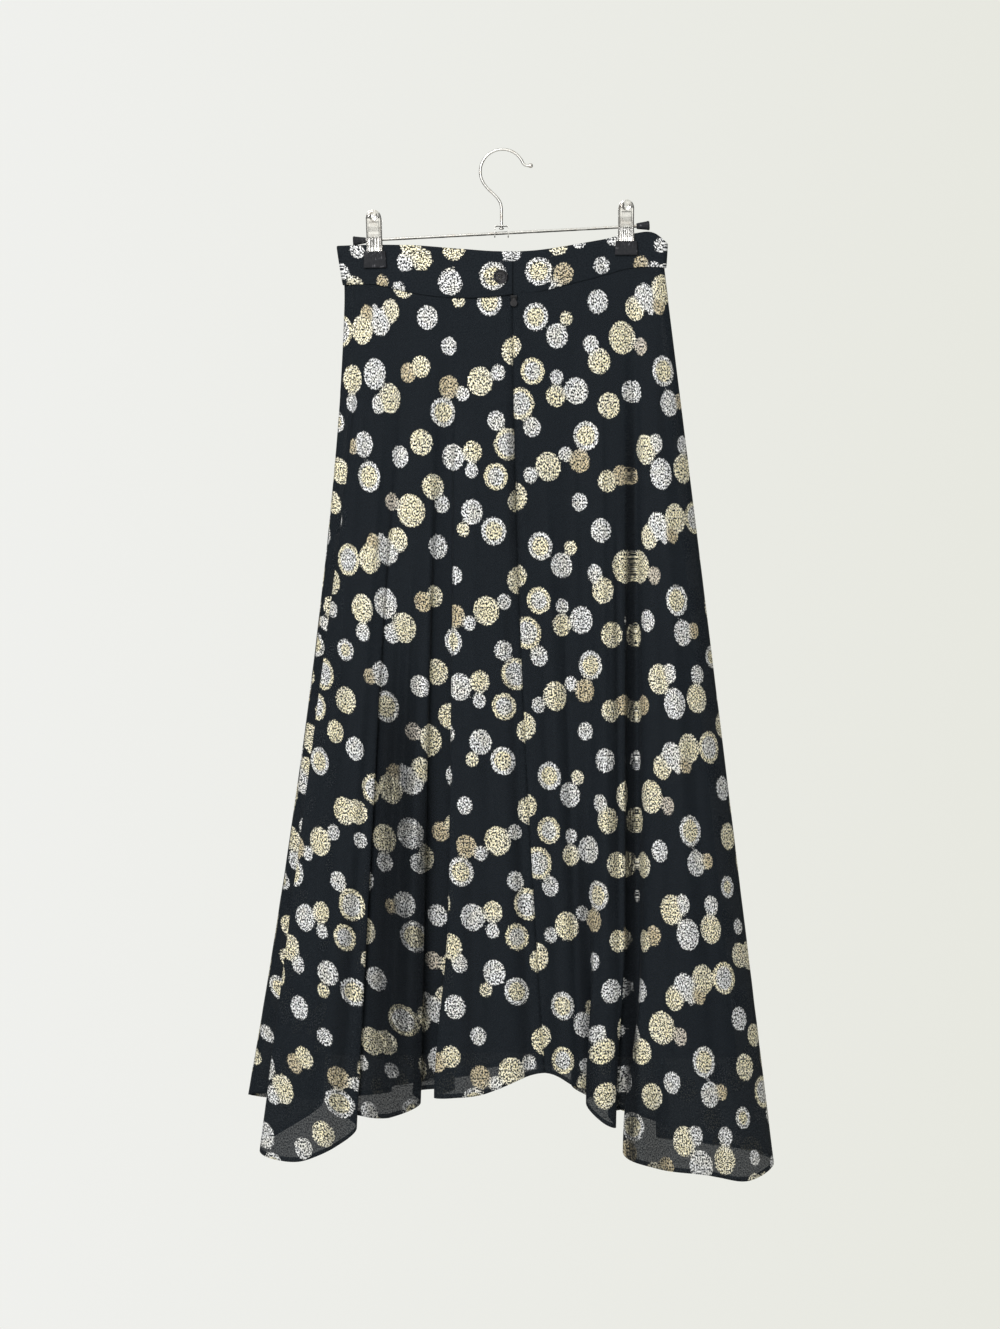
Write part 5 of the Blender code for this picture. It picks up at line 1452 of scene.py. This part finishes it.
def yoke_mesh():
    """The bent strap between hook and bar: rounded bends and narrowed, rounded legs."""
    half, drop = YOKE_HALF - YOKE_SHEET, YOKE_HEIGHT - YOKE_SHEET
    path = [(-half, z) for z in np.linspace(-drop, -YOKE_BEND, 9)]
    for turn in np.radians(np.arange(165, 89, -15)):
        x = -half + YOKE_BEND * (1 + math.cos(turn))
        path.append((x, -YOKE_BEND * (1 - math.sin(turn))))
    path += [(-x, z) for x, z in path[::-1]]
    path = np.array(path) + (BAR_CENTRE[0], YOKE_TOP_Z - YOKE_SHEET)
    ahead = np.gradient(path, axis=0)
    ahead /= np.linalg.norm(ahead, axis=1, keepdims=True)
    out = np.stack([-ahead[:, 1], ahead[:, 0]], axis=1)
    from_tip = (path[:, 1] - path[:, 1].min()) / YOKE_NARROWING
    halves = YOKE_HALF_DEPTH - YOKE_NARROWED * np.clip(1 - from_tip, 0.0, 1.0) ** 2
    points = []
    for place, away, deep in zip(path, out, halves):
        for across, thick in YOKE_SECTION:
            x, z = place + away * thick
            points.append((x, across * deep, z))
    size = len(YOKE_SECTION)
    faces = []
    for k in range(len(path) - 1):
        for m in range(size):
            after = (m + 1) % size
            one, two = k * size, (k + 1) * size
            faces.append([one + m, two + m, two + after, one + after])
    faces.append(list(range(size)))
    faces.append([(len(path) - 1) * size + m for m in range(size)][::-1])
    return free_mesh("yoke", points, faces)


# --- the lining, the zip and the small sewing --------------------------------------------------
def lining_rings():
    rows = [(LINING_LEFT, 0)]
    rows += [(line, -1) for line in LINING_NEAR]
    rows += [(LINING_RIGHT, 0)]
    rows += [(line, 1) for line in LINING_FAR]
    swells = {-1: LINING_BULGE, 0: 0.0, 1: LINING_BULGE}
    shares = np.linspace(0.0, 1.0, LINING_ROWS)
    grid, normals = ring_grid(rows, shares, LINING_HALF_DEPTH, swells)
    share = np.repeat(shares[:, None], grid.shape[1], axis=1)
    grid += normals * (CRUMPLE * share * crumple(grid, LINING_SEED))[:, :, None]
    return grid, normals, (1 + len(LINING_NEAR)) * FINE


def lining_panel(name, ring, first, last, look, node):
    grid, normals = ring[0], ring[1]
    columns = [k % grid.shape[1] for k in range(first, last + 1)]
    grid, normals = grid[:, columns], normals[:, columns]
    extra = np.zeros(grid.shape[:2] + (1,))
    grid, normals, extra = tucked(grid, normals, extra)
    grid, normals, extra = turned(grid, normals, extra, 0, True, LINING_HEM)
    return add_piece(name, grid_mesh(name, grid), look, [node])


def tape_piece(grid, normals, seam, look):
    """The zip's tape behind the seam, with the ridge of its coil down the middle."""
    top = grid[0, seam, 2] - TAPE_DROP
    levels = np.linspace(top, top - TAPE_LENGTH, TAPE_CELLS[0])
    places = np.linspace(-TAPE_HALF, TAPE_HALF, TAPE_CELLS[1])
    rows = []
    for height in levels:
        k = int(np.argmin(np.abs(grid[:, seam, 2] - height)))
        back = grid[k] - normals[k] * TAPE_BEHIND
        beside = slice(seam - 3 * FINE, seam + 3 * FINE)
        x = back[seam, 0] + places
        y = np.interp(x, back[beside, 0], back[beside, 1])
        coil = np.exp(-((places / COIL_HALF) ** 4))
        teeth = 0.5 + 0.5 * math.cos(2 * math.pi * height / TOOTH_PITCH)
        y = y + coil * (COIL_HEIGHT + TOOTH_HEIGHT * teeth)
        y = y + TAPE_CUP * np.abs(places) / TAPE_HALF
        rows.append(np.stack([x, y, np.full_like(x, height)], axis=1))
    data = grid_mesh("zip_tape", np.array(rows))
    return add_piece("zip_tape_woven", data, look, ["zip_tape"])


def stitch_mesh(name, runs, radius):
    """Many short threads as one mesh: each run is a list of points."""
    points, faces = [], []
    for run in runs:
        data = tube_mesh("run", run, radius, 6)
        start = len(points)
        points += [tuple(vert.co / MM) for vert in data.vertices]
        faces += [[start + k for k in face.vertices] for face in data.polygons]
        bpy.data.meshes.remove(data)
    return free_mesh(name, points, faces)


def buttonhole_runs(face_y):
    """Satin stitches round the buttonhole's slit, which runs out from under the button."""
    slit_z = BUTTON_Z - HOLE_DROP
    starts = []
    for x in np.linspace(HOLE_LEFT, HOLE_RIGHT, HOLE_STITCHES):
        starts += [(x, 0.0, -1.0), (x, 0.0, 1.0)]
    for angle in np.radians(HOLE_FAN):
        starts.append((HOLE_LEFT, math.cos(angle), math.sin(angle)))
    return [
        [(x + side * wide, face_y + behind, slit_z + up * tall) for wide, tall, behind in STITCH]
        for x, side, up in starts
    ]


def button_thread_runs(lowest, highest):
    """Two crossed pairs of thread over the button's four holes."""
    face = lowest[1] / MM + BUTTON_SINK
    x = (lowest[0] + highest[0]) / 2 / MM
    z = (lowest[2] + highest[2]) / 2 / MM
    half = BUTTON_PITCH / 2
    runs = []
    for over in (-1, 1):
        for shift in (-THREAD_APART, THREAD_APART):
            line = []
            for t in np.linspace(-1.0, 1.0, THREAD_POINTS):
                rise = THREAD_RISE * (1 - t**4) + (THREAD_OVER if over > 0 else 0.0)
                dive = THREAD_DEEP * max(abs(t) - THREAD_DIVE, 0.0) / (1 - THREAD_DIVE)
                up = (half * t + shift) * over
                line.append((x + half * t + shift, face - rise + dive, z + up))
            runs.append(line)
    return runs


# --- stage, light and camera ---------------------------------------------------------------------
VIEW = (-0.0025, -3.692, -0.5138)
LENS = 100.0
MIDDLE = (0.0, 0.0, -0.55)
FLOOR_Z = -1.27
FLOOR_HALF = 1.88
FLOOR_NEAR, FLOOR_FAR = -4.1, 0.15
CARD_HALF = 1.9
CARD_NEAR, CARD_FAR = -4.2, 0.9
CARD_LOW = -1.2
CARD_TOP = 1.6
FRONT_CARD_TOP = 0.1
WINDOW = (-1.2, -3.2, 1.0)
WINDOW_SIZE = 1.7
WINDOW_POWER = 110.0
WINDOW_COLOUR = (1.0, 0.99, 0.97)
WALL_CHANGE = 0.16  # the wall's tone changes between these directions, left and right


def add_plane(name, corners, look):
    data = bpy.data.meshes.new(name)
    data.from_pydata(corners, [], [(0, 1, 2, 3)])
    data.materials.append(look)
    plane = bpy.data.objects.new(name, data)
    bpy.context.scene.collection.objects.link(plane)
    return plane


def add_floor():
    n = Nodes("floor")
    grain = n.noise(object_space(n), 40.0, 4.0)
    look = n.set(Base_Color=n.mix(n.ramp(grain, 0.3, 0.7), *FLOOR_COLOURS), Roughness=0.8)
    places = [(-FLOOR_HALF, FLOOR_NEAR), (FLOOR_HALF, FLOOR_NEAR)]
    places += [(FLOOR_HALF, FLOOR_FAR), (-FLOOR_HALF, FLOOR_FAR)]
    add_plane("floor", [(x, y, FLOOR_Z) for x, y in places], look)


def add_card(name, start, end, top):
    """A dark studio card beside the object, which the camera doesn't see."""
    corners = [(*start, CARD_LOW), (*end, CARD_LOW), (*end, top), (*start, top)]
    look = Nodes(name).set(Base_Color=CARD_COLOUR, Roughness=0.9)
    add_plane(name, corners, look).visible_camera = False


def add_lights():
    lamp = bpy.data.lights.new("window", "AREA")
    lamp.energy = WINDOW_POWER
    lamp.size = WINDOW_SIZE
    lamp.color = WINDOW_COLOUR
    thing = bpy.data.objects.new("window", lamp)
    bpy.context.scene.collection.objects.link(thing)
    thing.location = WINDOW
    aim = Vector(MIDDLE) - Vector(WINDOW)
    thing.rotation_euler = aim.to_track_quat("-Z", "Y").to_euler()
    left, right = (-CARD_HALF, CARD_NEAR), (CARD_HALF, CARD_NEAR)
    add_card("card_left", left, (-CARD_HALF, CARD_FAR), CARD_TOP)
    add_card("card_right", right, (CARD_HALF, CARD_FAR), CARD_TOP)
    add_card("card_front", left, right, FRONT_CARD_TOP)


def add_wall_light():
    """A pale room all round, a little warmer to the right."""
    world = bpy.data.worlds.new("room")
    world.use_nodes = True
    tree = world.node_tree
    place = tree.nodes.new("ShaderNodeTexCoord")
    parts = tree.nodes.new("ShaderNodeSeparateXYZ")
    tree.links.new(place.outputs["Generated"], parts.inputs[0])
    across = tree.nodes.new("ShaderNodeMapRange")
    across.inputs["From Min"].default_value = -WALL_CHANGE
    across.inputs["From Max"].default_value = WALL_CHANGE
    tree.links.new(parts.outputs["X"], across.inputs["Value"])
    mix = tree.nodes.new("ShaderNodeMix")
    mix.data_type = "RGBA"
    mix.inputs[6].default_value, mix.inputs[7].default_value = WALL_COLOURS
    tree.links.new(across.outputs[0], mix.inputs[0])
    tree.links.new(mix.outputs[2], tree.nodes["Background"].inputs["Color"])
    bpy.context.scene.world = world


def add_camera():
    camera = bpy.data.objects.new("camera", bpy.data.cameras.new("camera"))
    camera.data.lens = LENS
    camera.location = VIEW
    camera.rotation_euler = (math.pi / 2, 0.0, 0.0)
    bpy.context.scene.collection.objects.link(camera)
    bpy.context.scene.camera = camera
    bpy.context.scene.view_settings.view_transform = "Standard"


def node_looks(frame):
    """Gives the CAD nodes that stay their looks, by their material slots."""
    looks = {"chrome": chrome_look(), "rubber": rubber_look(), "button": button_look()}
    looks["zip_tape"] = tape_look()
    looks["zip_metal"] = dark_metal_look()
    bar = frame["nodes"]["bar"].data.materials
    bar.clear()
    bar.append(chrome_look("bar_steel", 0.0, bar_underside_shade))
    for node in frame["nodes"].values():
        for slot in node.material_slots:
            key = slot.material.name.split(".")[0]
            if key in looks:
                slot.material = looks[key]
    return looks


def add_cloth(tape_material):
    """The skirt, its band, its lining and its zip tape, each built as a sheet."""
    grid, normals, pleat_shade, seam, right = shell_grid()
    ring, whole = (grid, normals, pleat_shade), grid.shape[1]
    sheer = chiffon_look("chiffon", SHEER)
    solid = chiffon_look("chiffon_lined", 1.0)
    name, node = "skirt_near_left", "near_left_panel"
    left = skirt_panel(name, ring, 0, seam, seam, None, True, sheer, node)
    name, node = "skirt_near_right", "near_right_panel"
    near = skirt_panel(name, ring, seam, right, 0, RIGHT_STEADY, False, sheer, node)
    name, node = "skirt_far", "far_panel"
    far = skirt_panel(name, ring, right, whole, 0, None, False, sheer, node)
    band = band_piece(solid)
    lining = lining_look()
    under = lining_rings()
    turn, whole = under[2], under[0].shape[1]
    front = lining_panel("lining_front", under, 0, turn, lining, "lining_near")
    back = lining_panel("lining_back", under, turn, whole, lining, "lining_far")
    tape = tape_piece(grid, normals, seam, tape_material)


def add_hanger(chrome, rubber):
    for clip in CLIPS:
        add_clip(clip, chrome, rubber)
    wire = chrome_look("hook_steel", 0.12, hook_side_shade)
    add_piece("hook_wire", hook_mesh(), wire, ["hook"])
    strap = chrome_look("strap_steel", 0.05, strap_shade_and_dark_tips)
    add_piece("yoke_strap", yoke_mesh(), strap, ["yoke"], smooth=False)


def add_stitches():
    thread = thread_look()
    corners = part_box("button")
    face_y = corners[1][1] / MM - FACE_INSET
    data = stitch_mesh("buttonhole", buttonhole_runs(face_y), HOLE_THREAD)
    add_piece("buttonhole", data, thread)
    data = stitch_mesh("button_thread", button_thread_runs(*corners), BUTTON_THREAD)
    add_piece("button_thread", data, thread)


def main():
    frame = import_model()
    looks = node_looks(frame)
    add_cloth(looks["zip_tape"])
    add_hanger(looks["chrome"], looks["rubber"])
    add_stitches()
    add_floor()
    add_camera()
    add_lights()
    add_wall_light()


main()
